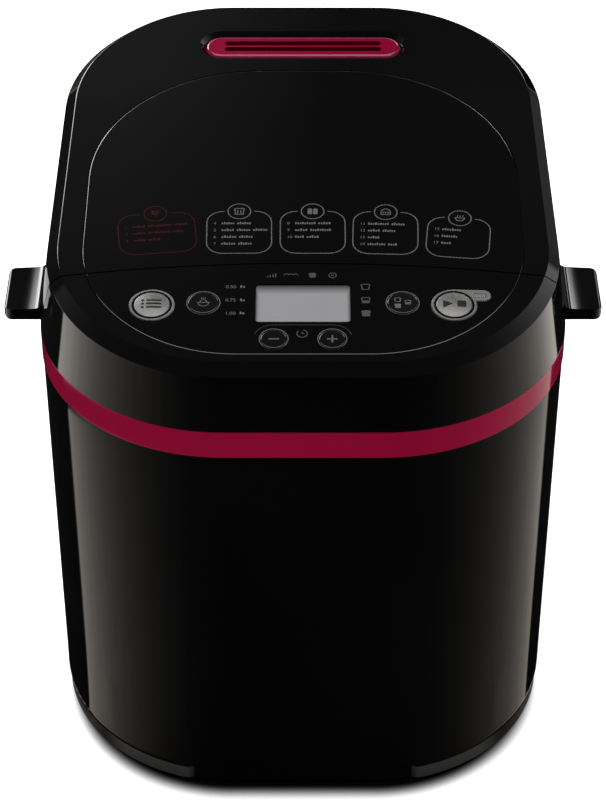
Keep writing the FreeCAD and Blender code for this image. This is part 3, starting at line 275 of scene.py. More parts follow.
def heatedTube(name):
    # sheathed heater: dark oxide with straw and blue tints
    finish = Finish(name, Metallic=1.0)
    tint = finish.noise(heaterLook["tintScale"])
    finish.colour(finish.add("ShaderNodeValToRGB", {"stops": heaterLook["tints"]}, {0: tint}))
    finish.roughBetween(finish.noise(heaterLook["roughScale"]), *heaterLook["rough"])
    finish.relief(finish.noise(heaterLook["grainScale"]), heaterLook["grain"], mouldingLook["skin"])
    return finish.material


# the bezel shades the cell along its edges: y at the far and near edge, x to the sides
displayLook = {"lit": ((0.208, 0.206, 0.212), (0.220, 0.218, 0.224)), "shaded": (0.022, 0.022, 0.023),
               "far": (-0.0932, -0.0868), "near": (-0.1118, -0.1133), "side": (0.0205, 0.0228)}


def displayFace(name):
    # pale grey cell under a clear window, darker towards the far edge where the bezel shades it
    finish = Finish(name, Roughness=0.22, IOR=1.5, Coat_Weight=1.0, Coat_Roughness=0.03)
    across, along = finish.axes()[:2]
    far = finish.spread(along, *displayLook["far"])
    side = finish.spread(finish.positive(across), *displayLook["side"])
    near = finish.spread(along, *displayLook["near"])
    shade = finish.sum("MAXIMUM", finish.sum("MAXIMUM", far, side * side), near * near)
    cell = finish.blend(finish.noise(60.0, 2.0), *displayLook["lit"])
    finish.colour(finish.blend(shade, cell, displayLook["shaded"]))
    return finish.material


inkLook = {"uneven": 420.0, "range": (0.35, 0.7), "rough": (0.10, 0.15)}


def inkPrint(name, colour, faded):
    # screen-printed ink, slightly uneven
    finish = Finish(name, IOR=1.4)
    uneven = finish.spread(finish.noise(inkLook["uneven"]), *inkLook["range"])
    finish.colour(finish.blend(uneven, faded, colour))
    finish.roughBetween(uneven, *inkLook["rough"])
    return finish.material


satinLook = {"pearl": 55.0, "pearlRange": (0.35, 0.65), "rough": (0.32, 0.44), "roughScale": 260.0,
             "grain": 0.05, "grainScale": 2600.0, "depth": 0.00005}


def satinSilver(name, dark, light):
    # satin silver plating with a faint pearl and fine grain
    finish = Finish(name, Metallic=0.85)
    pearl = finish.spread(finish.noise(satinLook["pearl"]), *satinLook["pearlRange"])
    finish.colour(finish.blend(pearl, dark, light))
    finish.roughBetween(finish.noise(satinLook["roughScale"]), *satinLook["rough"])
    finish.relief(finish.noise(satinLook["grainScale"], 2.0), satinLook["grain"], satinLook["depth"])
    return finish.material


# one finish per material slot: two tones, range of roughness, strength and scale of the grain
finishes = {
    "black_gloss": plastic("blackGloss", (0.0014, 0.0014, 0.0015), (0.0024, 0.0024, 0.0025),
                           (0.04, 0.06), 0.02, 800.0, IOR=1.45),
    "panel_black": plastic("panelGloss", (0.0006, 0.0006, 0.0007), (0.0010, 0.0010, 0.0011),
                           (0.035, 0.055), 0.01, 500.0, IOR=1.58),
    "crimson": crimsonPlastic("crimsonGloss"),
    "dark_plastic": grainedPlastic("grainedDark"),
    "key_black": plastic("keySatin", (0.0030, 0.0030, 0.0032), (0.0050, 0.0050, 0.0053),
                         (0.08, 0.12), 0.02, 1200.0, IOR=1.43),
    "silver_trim": satinSilver("satinSilver", (0.112, 0.111, 0.109), (0.136, 0.134, 0.131)),
    "display": displayFace("displayCell"),
    "lamp": satinSilver("lampLens", (0.118, 0.117, 0.115), (0.140, 0.139, 0.136)),
    "board": plastic("solderResist", (0.010, 0.075, 0.028), (0.016, 0.100, 0.040),
                     (0.30, 0.38), 0.12, 700.0),
    "parts_dark": plastic("mouldedDark", (0.022, 0.022, 0.026), (0.034, 0.034, 0.038),
                          (0.40, 0.52), 0.15, 1100.0),
    "steel": brushed("sheetSteel", (0.40, 0.40, 0.41), (0.58, 0.58, 0.59), (0.24, 0.40), (30, 30, 900)),
    "aluminium": brushed("brightAluminium", (0.60, 0.61, 0.63), (0.68, 0.69, 0.71),
                         (0.26, 0.34), (2600, 90, 90)),
    "nonstick": coatedPan("nonStickCoat"),
    "heater_tube": heatedTube("heaterSheath"),
    "rubber": plastic("blackRubber", (0.013, 0.013, 0.013), (0.021, 0.021, 0.021),
                      (0.62, 0.78), 0.3, 1300.0),
    "brass": brushed("turnedBrass", (0.52, 0.36, 0.14), (0.70, 0.52, 0.24), (0.20, 0.34), (60, 60, 1400)),
    "cast_alloy": plastic("castAlloy", (0.30, 0.31, 0.32), (0.42, 0.43, 0.44),
                          (0.40, 0.52), 0.35, 900.0, Metallic=1.0),
    "motor_paint": plastic("motorPaint", (0.055, 0.055, 0.060), (0.080, 0.080, 0.086),
                           (0.32, 0.45), 0.1, 900.0),
}
# the grey ink also draws the painted ring highlights round four buttons
greyInkAndRingHighlight = inkPrint("greyInkAndRingHighlight", (0.098, 0.098, 0.098), (0.078, 0.078, 0.078))
softInk = inkPrint("softInk", (0.058, 0.058, 0.058), (0.046, 0.046, 0.046))
dimInk = inkPrint("dimInk", (0.034, 0.034, 0.034), (0.026, 0.026, 0.026))
crimsonInk = inkPrint("crimsonInk", (0.040, 0.0040, 0.0085), (0.030, 0.0030, 0.0065))
darkInk = inkPrint("darkInk", (0.012, 0.012, 0.012), (0.022, 0.022, 0.022))

for part in frame["record"]["subparts"]:
    material = finishes[part["material_slot"]]
    slots = nodes[part["node"]].data.materials
    slots.clear()
    slots.append(material)
print("finishes on the CAD nodes:", len(finishes))


# drawing on the sloped top; each print is a thin layer, part of it below the surface
inkLayer = {"sunk": 0.03, "proud": 0.03}


def onTop(x, y, lift=0.0):
    # matrix from a flat drawing in millimetres to the top plane at plan point x, y
    z = topPlane["frontZ"] + (y - topPlane["frontY"]) * tan(topPlane["slope"])
    spot = Matrix.Translation(Vector((x, y, z)) * mm)
    tilt = Matrix.Rotation(topPlane["slope"], 4, "X")
    return spot @ tilt @ Matrix.Translation((0, 0, lift * mm)) @ Matrix.Scale(mm, 4)


def merge(target, shape, matrix):
    # adds a drawing to the target at its place
    bmesh.ops.transform(shape, matrix=matrix, verts=shape.verts[:])
    carrier = bpy.data.meshes.new("carrier")
    shape.to_mesh(carrier)
    shape.free()
    target.from_mesh(carrier)
    bpy.data.meshes.remove(carrier)


def stamp(target, shape, matrix):
    # thickens a flat drawing into a thin layer and adds it to the target
    layer = inkLayer["sunk"] + inkLayer["proud"]
    grown = bmesh.ops.extrude_face_region(shape, geom=shape.faces[:])["geom"]
    upper = [item for item in grown if isinstance(item, bmesh.types.BMVert)]
    bmesh.ops.translate(shape, verts=upper, vec=(0, 0, layer))
    bmesh.ops.translate(shape, verts=shape.verts[:], vec=(0, 0, -inkLayer["sunk"]))
    bmesh.ops.recalc_face_normals(shape, faces=shape.faces[:])
    merge(target, shape, matrix)


def moved(x, y, turn=0.0):
    # matrix to a point of a flat drawing, turned there
    return Matrix.Translation((x, y, 0)) @ Matrix.Rotation(radians(turn), 4, "Z")


def patch(points, rounding=0.0, line=0.0, steps=5):
    # filled shape with rounded corners, or only its edge when line is given
    shape = bmesh.new()
    shape.faces.new([shape.verts.new((x, y, 0)) for x, y in points])
    if rounding:
        bmesh.ops.bevel(shape, geom=shape.verts[:], offset=rounding, segments=steps, profile=0.5,
                        affect="VERTICES", material=-1)
    if line:
        inner = shape.faces[:]
        bmesh.ops.inset_region(shape, faces=inner, thickness=line, use_even_offset=True, use_boundary=True)
        bmesh.ops.delete(shape, geom=inner, context="FACES")
    return shape


def box(width, depth, rounding=0.0, line=0.0):
    x, y = width / 2, depth / 2
    return patch([(-x, -y), (x, -y), (x, y), (-x, y)], rounding, line)


def ring(outer, inner, segments=48):
    # a disc when the inner radius is zero
    shape = bmesh.new()
    if inner:
        for radius in (outer, inner):
            bmesh.ops.create_circle(shape, segments=segments, radius=radius)
        bmesh.ops.bridge_loops(shape, edges=shape.edges[:])
    else:
        bmesh.ops.create_circle(shape, cap_ends=True, segments=segments, radius=outer)
    return shape


def arch(radius, line, start, end, steps=16):
    # band along part of a circle
    shape = bmesh.new()
    first = [shape.verts.new((r * cos(radians(start)), r * sin(radians(start)), 0))
             for r in (radius - line / 2, radius + line / 2)]
    edge = shape.edges.new(first)
    bmesh.ops.spin(shape, geom=first + [edge], axis=(0, 0, 1), cent=(0, 0, 0),
                   angle=radians(end - start), steps=steps, use_merge=False)
    return shape


def number(text, size):
    # numerals as a flat mesh, from the left and centred in height
    curve = bpy.data.curves.new("numeral", "FONT")
    curve.body = text
    curve.size = size
    curve.align_x = "LEFT"
    curve.align_y = "CENTER"
    curve.resolution_u = 3
    holder = bpy.data.objects.new("numeral", curve)
    mesh = bpy.data.meshes.new_from_object(holder)
    shape = bmesh.new()
    shape.from_mesh(mesh)
    bpy.data.objects.remove(holder)
    bpy.data.curves.remove(curve)
    bpy.data.meshes.remove(mesh)
    bmesh.ops.remove_doubles(shape, verts=shape.verts[:], dist=0.0005)
    return shape


def finishPiece(name, target, body, material, matrix):
    # makes a drawing one piece that rides on a body
    bmesh.ops.transform(target, matrix=matrix, verts=target.verts[:])
    mesh = bpy.data.meshes.new(name)
    target.to_mesh(mesh)
    target.free()
    mesh.materials.append(material)
    piece = bpy.data.objects.new(name, mesh)
    bpy.context.scene.collection.objects.link(piece)
    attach(piece, body)


# pictograms, each drawn round its middle and about as wide as its size

def loaf(target, x, y, size, line=0.0):
    points = [(-0.42, -0.45), (0.42, -0.45), (0.42, 0.05), (0.54, 0.26), (0.36, 0.47), (-0.36, 0.47),
              (-0.54, 0.26), (-0.42, 0.05)]
    points = [(size * px, size * py) for px, py in points]
    stamp(target, patch(points, size * 0.09, line, 3), moved(x, y))


def sliced(target, x, y, size):
    loaf(target, x, y, size, size * 0.09)
    for step in (-0.14, 0.14):
        stamp(target, box(size * 0.08, size * 0.5, size * 0.03), moved(x + size * step, y - size * 0.06))


def twinLoaf(target, x, y, size):
    for side in (-1, 1):
        stamp(target, box(size * 0.42, size * 0.8, size * 0.14), moved(x + side * size * 0.25, y))


def wheat(target, x, y, size):
    stamp(target, box(size * 0.08, size * 0.95, size * 0.03), moved(x, y - size * 0.02))
    for row in range(3):
        for side in (-1, 1):
            grain = [(0, 0), (0.30, 0.16), (0.34, 0.34), (0.06, 0.20)]
            points = [(side * size * px, size * py) for px, py in grain]
            if side < 0:
                points.reverse()
            spot = moved(x + side * size * 0.05, y + size * 0.22 * (row - 1))
            stamp(target, patch(points, size * 0.05, 0, 3), spot)


def cakeSlab(target, x, y, size):
    stamp(target, box(size * 0.95, size * 0.42, size * 0.08, size * 0.08), moved(x, y - size * 0.18))
    stamp(target, arch(size * 0.42, size * 0.1, 12, 168, 12), moved(x, y + size * 0.02))
    for step in (-0.22, 0.0, 0.22):
        stamp(target, ring(size * 0.05, 0, 10), moved(x + size * step, y - size * 0.18))


def bowl(target, x, y, size):
    stamp(target, arch(size * 0.42, size * 0.1, 184, 356, 14), moved(x, y + size * 0.05))
    stamp(target, box(size * 1.0, size * 0.09, size * 0.04), moved(x, y + size * 0.05))
    for step in (-0.2, 0.05, 0.3):
        steam = moved(x + size * (step - 0.03), y + size * 0.3, -14)
        stamp(target, box(size * 0.07, size * 0.26, size * 0.03), steam)


def crustMark(target, x, y, size, browning):
    # a loaf in outline when pale, half filled when medium, full when dark
    loaf(target, x, y, size, 0 if browning == "dark" else size * 0.11)
    if browning == "medium":
        stamp(target, box(size * 0.56, size * 0.3, size * 0.04), moved(x, y - size * 0.16))


def clockMark(target, x, y, size):
    stamp(target, arch(size / 2, size * 0.1, -230, 80, 24), moved(x, y))
    stamp(target, box(size * 0.09, size * 0.28, size * 0.03), moved(x, y + size * 0.1))
    stamp(target, box(size * 0.24, size * 0.09, size * 0.03), moved(x + size * 0.09, y))


# program cards on the lid: an outlined box, a pictogram on its top edge, numbered rows of word lengths
programCards = [
    {"x": -72.2, "y": -50.3, "width": 38.6, "depth": 30.2, "turn": 5.6, "mark": wheat, "first": 1,
     "rows": [(6.4, 12.0, 6.6), (6.4, 11.0, 5.4), (6.0, 6.2)], "ink": "crimson"},
    {"x": -31.6, "y": -49.4, "width": 32.6, "depth": 32.0, "turn": 0.6, "mark": sliced, "first": 4,
     "rows": [(6.6, 7.2), (6.4, 7.0, 7.4), (7.6, 7.0), (7.2, 7.0)], "ink": "grey"},
    {"x": 4.8, "y": -49.4, "width": 32.6, "depth": 32.0, "turn": 0.0, "mark": twinLoaf, "first": 8,
     "rows": [(10.4, 6.4), (6.4, 10.6), (4.6, 6.2)], "ink": "grey"},
    {"x": 40.8, "y": -50.0, "width": 32.6, "depth": 32.0, "turn": -1.8, "mark": cakeSlab, "first": 11,
     "rows": [(10.6, 6.8), (6.2, 6.6), (6.0,), (9.0, 4.6)], "ink": "grey"},
    {"x": 76.7, "y": -53.6, "width": 31.6, "depth": 30.0, "turn": -5.4, "mark": bowl, "first": 15,
     "rows": [(9.6,), (8.0,), (5.0,)], "ink": "grey"},
]
cardStyle = {"line": 0.5, "corner": 8.2, "badge": 5.9, "badgeGap": 1.6, "pictogram": 5.4, "rowStep": 5.1,
             "rowTop": 6.6, "margin": 3.6, "numeral": 2.7, "wordsFrom": 3.8, "wordGap": 1.1}

# words are rows of strokes: their step, the share of it that is inked, and the heights in turn
strokes = {"step": 1.2, "inked": 0.72, "corner": 0.12, "height": 1.25, "heights": (1.0, 1.0, 1.4, 1.0, 1.25)}


def wordMark(target, place, width):
    # a row of small strokes in place of a word
    count = max(2, round(width / strokes["step"]))
    step = width / count
    heights = strokes["heights"]
    for index in range(count):
        tall = strokes["height"] * heights[(index + count) % len(heights)]
        stroke = box(step * strokes["inked"], tall, strokes["corner"])
        lift = (tall - strokes["height"]) / 2
        stamp(target, stroke, place @ Matrix.Translation((step * (index + 0.5), lift, 0)))


def openTop(edge, reach):
    # cuts a gap of twice the reach into the middle of the upper line
    for side in (-reach, reach):
        bmesh.ops.bisect_plane(edge, geom=edge.verts[:] + edge.edges[:] + edge.faces[:],
                               plane_co=(side, 0, 0), plane_no=(1, 0, 0))
    gap = []
    for face in edge.faces:
        middle = face.calc_center_median()
        if abs(middle.x) < reach and middle.y > 0:
            gap.append(face)
    bmesh.ops.delete(edge, geom=gap, context="FACES")


def drawCard(target, card):
    place = moved(card["x"], card["y"], card["turn"])
    edge = box(card["width"], card["depth"], cardStyle["corner"], cardStyle["line"])
    openTop(edge, cardStyle["badge"] + cardStyle["badgeGap"])
    stamp(target, edge, place)
    top = card["depth"] / 2 - cardStyle["line"] / 2
    badge = place @ Matrix.Translation((0, top, 0))
    stamp(target, ring(cardStyle["badge"], cardStyle["badge"] - cardStyle["line"]), badge)
    pictogram = bmesh.new()
    card["mark"](pictogram, 0, 0, cardStyle["pictogram"])
    merge(target, pictogram, badge)
    left = -card["width"] / 2 + cardStyle["margin"]
    for index, words in enumerate(card["rows"]):
        y = top - cardStyle["rowTop"] - cardStyle["rowStep"] * (index + 0.5)
        numeral = number(str(card["first"] + index), cardStyle["numeral"])
        stamp(target, numeral, place @ Matrix.Translation((left, y, 0)))
        x = left + cardStyle["wordsFrom"]
        for width in words:
            wordMark(target, place @ Matrix.Translation((x, y, 0)), width)
            x += width + cardStyle["wordGap"]


flatTop = onTop(0, 0)
cardInks = {"crimson": ("cardPrintCrimson", "crimson", crimsonInk),
            "grey": ("cardPrintGrey", "silver_trim", greyInkAndRingHighlight)}
for ink, (name, slotName, material) in cardInks.items():
    sheet = bmesh.new()
    for card in programCards:
        if card["ink"] == ink:
            drawCard(sheet, card)
    finishPiece(name, sheet, "lid", material, flatTop)
print("program cards:", len(programCards))


# print on the control panel: a bow over minus and plus, the clock between them,
# weights left and crusts right of the display, small signs above it; the thin grey rings round four buttons
# are a painted highlight of their cap edges
panelMarks = {"ringHighlightLine": 0.42, "ringHighlightGap": 0.36, "bowRadius": 9.7, "bowLine": 0.34, "bowEnd": 18,
              "clock": (-0.4, -122.6, 5.0), "rowsY": (-89.7, -99.2, -108.5),
              "weights": ("0.50", "0.75", "1.00"), "weightX": -37.4, "weightSize": 3.0,
              "unitX": -30.5, "unitWidth": 2.6, "crusts": ("pale", "medium", "dark"), "crustX": 30.2,
              "crustSize": 4.6, "signsY": -81.3, "barsX": -17.2, "wavesX": -8.0, "loafX": 4.6, "roundX": 14.4}
ringHighlighted = ("weight_button", "crust_button", "minus_button", "plus_button")
# middle and radius of each cap
buttons = {
    "weight_button": (-47.9, -101.0, 7.4), "crust_button": (47.9, -101.0, 7.4),
    "minus_button": (-13.9, -126.2, 6.3), "plus_button": (13.9, -126.2, 6.3),
    "menu_button": (-72.6, -102.6, 8.7), "start_button": (72.6, -102.6, 8.7),
}


# painted highlight: a thin grey ring just outside the gap of each of four caps
def drawRingHighlights(target):
    for name in ringHighlighted:
        x, y, radius = buttons[name]
        inner = radius + panelMarks["ringHighlightGap"]
        stamp(target, ring(inner + panelMarks["ringHighlightLine"], inner, 64), moved(x, y))


def drawBow(target):
    x, y = buttons["plus_button"][:2]
    radius, line, end = panelMarks["bowRadius"], panelMarks["bowLine"], panelMarks["bowEnd"]
    stamp(target, arch(radius, line, 90, 180 - end), moved(-x, y))
    stamp(target, arch(radius, line, end, 90), moved(x, y))
    stamp(target, box(2 * x, line), moved(0, y + radius))


def drawWeights(target):
    for text, y in zip(panelMarks["weights"], panelMarks["rowsY"]):
        stamp(target, number(text, panelMarks["weightSize"]), moved(panelMarks["weightX"], y))
        wordMark(target, moved(panelMarks["unitX"], y), panelMarks["unitWidth"])


def drawCrusts(target):
    for browning, y in zip(panelMarks["crusts"], panelMarks["rowsY"]):
        crustMark(target, panelMarks["crustX"], y, panelMarks["crustSize"], browning)


def drawSigns(target):
    # rising bars, waves, a loaf and a bar in a ring
    y = panelMarks["signsY"]
    for step in range(4):
        bar = box(0.6, 1.0 + 0.6 * step, 0.2)
        stamp(target, bar, moved(panelMarks["barsX"] + step * 1.3, y - 0.9 + 0.3 * step))
    for step in range(3):
        stamp(target, arch(1.1, 0.45, 0, 180, 8), moved(panelMarks["wavesX"] + step * 2.2, y))
    loaf(target, panelMarks["loafX"], y, 3.6)
    stamp(target, ring(2.0, 1.55, 24), moved(panelMarks["roundX"], y))
    stamp(target, box(1.7, 0.5, 0.2), moved(panelMarks["roundX"], y))


greyPrintAndRingHighlights = bmesh.new()
drawRingHighlights(greyPrintAndRingHighlights)
drawWeights(greyPrintAndRingHighlights)
finishPiece("panelPrintAndRingHighlights", greyPrintAndRingHighlights, "housing", greyInkAndRingHighlight, flatTop)
soft = bmesh.new()
clockMark(soft, *panelMarks["clock"])
drawCrusts(soft)
drawSigns(soft)
finishPiece("panelPrintSoft", soft, "housing", softInk, flatTop)
dim = bmesh.new()
drawBow(dim)
finishPiece("panelPrintDim", dim, "housing", dimInk, flatTop)
print("panel print done")


# marks on the buttons: height of the caps over the panel, two of them domed, and the grid that bends a mark
caps = {"flat": 0.7, "domed": ("menu_button", "start_button"), "dome": 1.7, "domeRadius": 47.7,
        "gridHalf": 8, "gridShift": 0.03}


def bend(target):
    # cuts a drawing along a millimetre grid and lays it on the dome of a cap
    for step in range(-caps["gridHalf"], caps["gridHalf"] + 1):
        line = step + caps["gridShift"]
        for normal in ((1, 0, 0), (0, 1, 0)):
            bmesh.ops.bisect_plane(target, geom=target.verts[:] + target.edges[:] + target.faces[:],
                                   plane_co=(line, line, 0), plane_no=normal)
    for vert in target.verts:
        vert.co.z -= vert.co.xy.length_squared / (2 * caps["domeRadius"])


def drawMenu(target):
    for y in (2.4, 0.0, -2.4):
        stamp(target, box(7.4, 1.15, 0.4), moved(1.0, y))
        stamp(target, ring(0.75, 0, 14), moved(-4.4, y))


def drawStart(target):
    stamp(target, patch([(-5.4, -2.7), (-0.6, 0), (-5.4, 2.7)], 0.5), moved(0, 0))
    stamp(target, box(4.4, 4.4, 0.5), moved(3.6, 0))


def drawWeight(target):
    stamp(target, arch(2.6, 0.4, 180, 360, 16), moved(0, 0.1))
    stamp(target, box(6.4, 0.42, 0.15), moved(0, 0.1))
    stamp(target, arch(1.7, 0.4, 0, 180, 12), moved(0, 0.3))
    for side in (-0.9, 0.0, 0.9):
        stamp(target, box(0.36, 1.1, 0.12), moved(side, 3.1, -12))


def drawCrust(target):
    size = 3.3
    crustMark(target, -2.4, 2.0, size, "pale")
    crustMark(target, 2.5, 0.2, size, "medium")
    crustMark(target, -2.4, -2.3, size, "dark")


def drawMinus(target):
    stamp(target, box(5.0, 0.75, 0.2), moved(0, 0))


def drawPlus(target):
    drawMinus(target)
    stamp(target, box(0.75, 5.0, 0.2), moved(0, 0))


buttonMarks = {
    "menu_button": (drawMenu, darkInk, "key_black"),
    "start_button": (drawStart, darkInk, "key_black"),
    "weight_button": (drawWeight, greyInkAndRingHighlight, "silver_trim"),
    "crust_button": (drawCrust, greyInkAndRingHighlight, "silver_trim"),
    "minus_button": (drawMinus, greyInkAndRingHighlight, "silver_trim"),
    "plus_button": (drawPlus, greyInkAndRingHighlight, "silver_trim"),
}
for name, (draw, material, slotName) in buttonMarks.items():
    x, y = buttons[name][:2]
    mark = bmesh.new()
    draw(mark)
    proud = caps["flat"]
    if name in caps["domed"]:
        proud = caps["dome"]
        bend(mark)
    finishPiece(name.replace("_button", "Mark"), mark, name, material, onTop(x, y, proud))
print("button marks done")


# floor: its tones, half its size, its own glow with the tint that gloss sees, and the painted contact shadow,
# which lies a little to the front of the plan
floor = {"tones": (0.92, 0.94), "clouds": 2.0, "cloudRange": (0.3, 0.7), "half": 12.0, "glow": 0.6,
         "warm": (1.0, 0.80, 0.58), "paintedShadowForward": 0.0105, "paintedShadowWidth": 0.0125, "paintedShadowPower": 1.7}

# plan of the object on the floor, as the painted contact shadow and the card of painted reflection follow it
plan = {"halfX": 0.038, "halfY": 0.0565, "radius": 0.094}


def stageMesh(name, shape, finish):
    # a mesh of the set round the object
    mesh = bpy.data.meshes.new(name)
    shape.to_mesh(mesh)
    shape.free()
    mesh.materials.append(finish.material)
    piece = bpy.data.objects.new(name, mesh)
    bpy.context.scene.collection.objects.link(piece)
    return piece


def outsidePlan(finish):
    # distance on the floor from the object's rounded plan, moved to the front, for the painted contact shadow
    across, along = finish.axes()[:2]
    beyond = []
    for value, half in ((across, plan["halfX"]), (along + floor["paintedShadowForward"], plan["halfY"])):
        beyond.append(finish.sum("MAXIMUM", finish.positive(value) - half, 0.0))
    return (beyond[0] * beyond[0] + beyond[1] * beyond[1]) ** 0.5 - plan["radius"]


def makeFloor():
    # pale floor that looks white to the camera and to gloss, keeps the real shadow under the object, and has
    # a painted contact shadow darkening its colour and glow near the plan
    shape = bmesh.new()
    bmesh.ops.create_grid(shape, x_segments=1, y_segments=1, size=floor["half"])
    finish = Finish("paleFloor", Roughness=0.9, IOR=1.2, Emission_Strength=floor["glow"])
    black, white = (0.0, 0.0, 0.0), (1.0, 1.0, 1.0)
    dull, pale = [(tone, tone, tone) for tone in floor["tones"]]
    clouds = finish.spread(finish.noise(floor["clouds"], 2.0), *floor["cloudRange"])
    # painted shadow: the floor's colour and glow go dark near the object's plan
    clear = finish.add("ShaderNodeMapRange", {"interpolation_type": "SMOOTHSTEP"}, {
        "Value": outsidePlan(finish), "From Min": -floor["paintedShadowWidth"], "From Max": 0.0})
    clear = clear ** floor["paintedShadowPower"]
    finish.colour(finish.blend(clear, black, finish.blend(clouds, dull, pale)))
    camera, gloss, passing = [finish.add("ShaderNodeLightPath", out="Is " + ray + " Ray")
                              for ray in ("Camera", "Glossy", "Transmission")]
    tint = finish.blend(gloss, white, floor["warm"])
    seen = (camera + gloss + passing) * clear
    finish.feed(finish.shader.inputs["Emission Color"], finish.blend(seen, black, tint))
    stageMesh("floor", shape, finish)


# painted reflection: a black card on the floor that only gloss sees, a fan of lines that leave the round
# corners as they reflect, which paints dark reflections into the walls.
# Per side: the corner angle where it closes, its openness there at each distance, how fast it opens up to
# that angle, and its cover at the far end behind; a sheet at the back has its own cover
reflectionShadeCard = {"height": 0.0015, "lines": 30, "edge": 1.2, "distances": (0.0, 0.272, 0.278, 0.304, 0.33, 11.0),
             "cloth": ((0.004, 0.004, 0.004), (0.008, 0.008, 0.008)), "weave": 40.0,
             "sides": (
                 {"side": -1, "closes": 59.0, "shares": (0.52, 0.52, 0.0, 0.0, 1.28, 1.28), "power": 2.5,
                  "far": 0.6, "rear": 0.45},
                 {"side": 1, "closes": 66.0, "shares": (0.48, 0.48, 0.48, 0.48, 1.20, 1.20), "power": 2.9,
                  "far": 1.0, "rear": 0.8}),
             "rearX": 0.132, "rearY": (0.15, 2.5)}


def cardRow(shape, cover, card, turn):
    # one line of the fan, from the round corner outwards
    angle = radians(turn)
    start = Vector((card["side"] * (plan["halfX"] + plan["radius"] * sin(angle)),
                    -plan["halfY"] - plan["radius"] * cos(angle), reflectionShadeCard["height"]))
    heading = Vector((card["side"] * sin(2 * angle), -cos(2 * angle), 0))
    row = []
    for distance, share in zip(reflectionShadeCard["distances"], card["shares"]):
        vert = shape.verts.new(start + distance * heading)
        vert[cover] = 1.0
        if turn <= card["closes"]:
            vert[cover] = max(0.0, 1.0 - share * (turn / card["closes"]) ** card["power"])
        row.append(vert)
    if turn > card["closes"]:
        row[-1][cover] = card["far"]
    return row


def rearSheet(shape, cover, card):
    span = (0, card["side"] * reflectionShadeCard["rearX"])
    near, far = [[shape.verts.new((x, y, reflectionShadeCard["height"])) for x in span] for y in reflectionShadeCard["rearY"]]
    for vert in near + far:
        vert[cover] = card["rear"]
    shape.faces.new((near[0], near[1], far[1], far[0]))


def makeReflectionShadeCard():
    # only gloss sees it: a painted dark reflection
    shape = bmesh.new()
    cover = shape.verts.layers.float.new("cover")
    rows = []
    for card in reflectionShadeCard["sides"]:
        turns = {90 * index / reflectionShadeCard["lines"] for index in range(reflectionShadeCard["lines"] + 1)}
        turns |= {card["closes"], card["closes"] + reflectionShadeCard["edge"]}
        for turn in sorted(turns, reverse=card["side"] < 0):
            rows.append(cardRow(shape, cover, card, turn))
    for first, second in zip(rows, rows[1:]):
        for step in range(len(first) - 1):
            shape.faces.new((first[step], first[step + 1], second[step + 1], second[step]))
    for card in reflectionShadeCard["sides"]:
        rearSheet(shape, cover, card)
    finish = Finish("reflectionShadeCloth", Roughness=1.0, Specular_IOR_Level=0.0)
    # painted reflection: the black cloth, thinned by its cover, is what the walls reflect
    finish.colour(finish.blend(finish.noise(reflectionShadeCard["weave"]), *reflectionShadeCard["cloth"]))
    thickness = finish.add("ShaderNodeAttribute", {"attribute_name": "cover"}, out=2)
    finish.feed(finish.shader.inputs["Alpha"], thickness)
    sheet = stageMesh("reflectionShadeCard", shape, finish)
    for sight in ("camera", "diffuse", "transmission", "volume_scatter", "shadow"):
        setattr(sheet, "visible_" + sight, False)


class Sky(Finish):
    # the world, with the same tools as a finish
    def __init__(self):
        world = bpy.data.worlds.new("studio")
        bpy.context.scene.world = world
        world.use_nodes = True
        self.tree = world.node_tree
        self.shader = self.tree.nodes["Background"]


# the world is dark but for pale sides and a few glows. Its axes are those of a direction: x to the right,
# y to the back, z up, aside is x on either side, facing is y within the level plane.
# Sides: level and end in facing on the left and right, the x that blends them, and their edges
sides = {"levels": (0.25, 1.35), "ends": (0.45, 0.63), "blend": (-0.2, 0.2), "rise": (-1.0, 0.643),
         "edge": (0.015, -0.03), "top": (0.75, 0.42)}
darkLevel = 0.04
# each glow: its level, and per edge the axis with the values where it is dark and where it is full
glows = {
    # high at the back left, a sheen over the lid
    "sheen": (0.15, (("x", 0.01, -0.07), ("y", 0.2, 0.4), ("z", 0.585, 0.63), ("z", 0.76, 0.67))),
    # on each side, in the tops of the lift tabs
    "tabs": (6.5, (("aside", 0.24, 0.21), ("z", 0.62, 0.60), ("z", 0.50, 0.53), ("y", 0.5, 0.7))),
    # behind the right side, in the bevel of the lid
    "shoulder": (0.14, (("facing", 0.62, 0.66), ("facing", 0.86, 0.80), ("x", 0.4, 0.5), ("z", 0.35, 0.2))),
    # low at the back, in the edge of the lid panel
    "back": (1.0, (("aside", 0.45, 0.38), ("y", 0.6, 0.7), ("z", 0.28, 0.34), ("z", 0.47, 0.42))),
}
# the tabs' glow rises steeply, the one at the back grows from the middle to the corners
tabsRise = {"aside": (0.15, 0.195), "power": 7.0}
backGrowth = {"aside": (0.08, 0.28), "levels": (2.2, 8.0)}


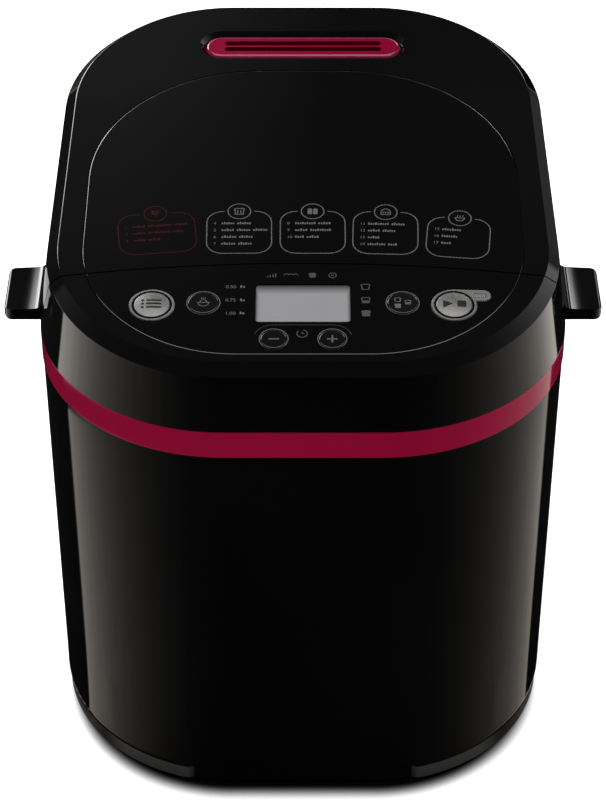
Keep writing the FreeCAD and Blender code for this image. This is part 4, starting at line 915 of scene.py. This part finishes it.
def makeWorld():
    sky = Sky()
    x, y, z = sky.axes(sky.add("ShaderNodeTexCoord"))
    aside = sky.positive(x)
    # the last term keeps the length off zero straight up
    facing = y / (x * x + y * y + 0.0001) ** 0.5
    axes = {"x": x, "y": y, "z": z, "aside": aside, "facing": facing}
    level = sky.spread(x, *sides["blend"], *sides["levels"])
    end = sky.spread(x, *sides["blend"], *sides["ends"])
    rise = sky.spread(facing, *sides["rise"])
    light = rise * rise * sky.spread(facing - end, *sides["edge"]) * sky.spread(z, *sides["top"]) * level
    growth = {"tabs": sky.spread(aside, *tabsRise["aside"]) ** tabsRise["power"],
              "back": sky.spread(aside, *backGrowth["aside"], *backGrowth["levels"])}
    for name, (glow, edges) in glows.items():
        glow = growth.get(name, 1.0) * glow
        for axis, dark, full in edges:
            glow = sky.spread(axes[axis], dark, full) * glow
        light = light + glow
    sky.feed(sky.shader.inputs["Strength"], light + darkLevel)
    sky.shader.inputs["Color"].default_value = (1, 1, 1, 1)


lamps = {"keyLamp": {"place": (0.0, 0.05, 2.1), "aim": (0, 0, 0.1), "size": (2.6, 1.9), "power": 58.0},
         "rimLamp": {"place": (-0.80, 1.20, 1.05), "aim": (0, 0, 0.28), "size": (0.55, 0.75), "power": 13.0}}


def makeLamp(name, place, aim, size, power):
    lamp = bpy.data.lights.new(name, "AREA")
    lamp.shape = "RECTANGLE"
    lamp.size, lamp.size_y = size
    lamp.energy = power
    holder = bpy.data.objects.new(name, lamp)
    holder.location = place
    holder.rotation_euler = (Vector(aim) - Vector(place)).to_track_quat("-Z", "Y").to_euler()
    bpy.context.scene.collection.objects.link(holder)


view = {"place": (0.0, -1.0972, 1.0205), "pitch": 38.6, "lens": 115.9, "sensor": 36.0}


def makeCamera():
    camera = bpy.data.cameras.new("camera")
    camera.lens = view["lens"]
    camera.sensor_width = view["sensor"]
    holder = bpy.data.objects.new("camera", camera)
    holder.location = view["place"]
    holder.rotation_euler = (radians(90 - view["pitch"]), 0, 0)
    bpy.context.scene.collection.objects.link(holder)
    bpy.context.scene.camera = holder


makeFloor()
makeReflectionShadeCard()
makeWorld()
for name, lamp in lamps.items():
    makeLamp(name, **lamp)
makeCamera()
bpy.context.scene.view_settings.view_transform = "Standard"
print("floor, light and camera done")
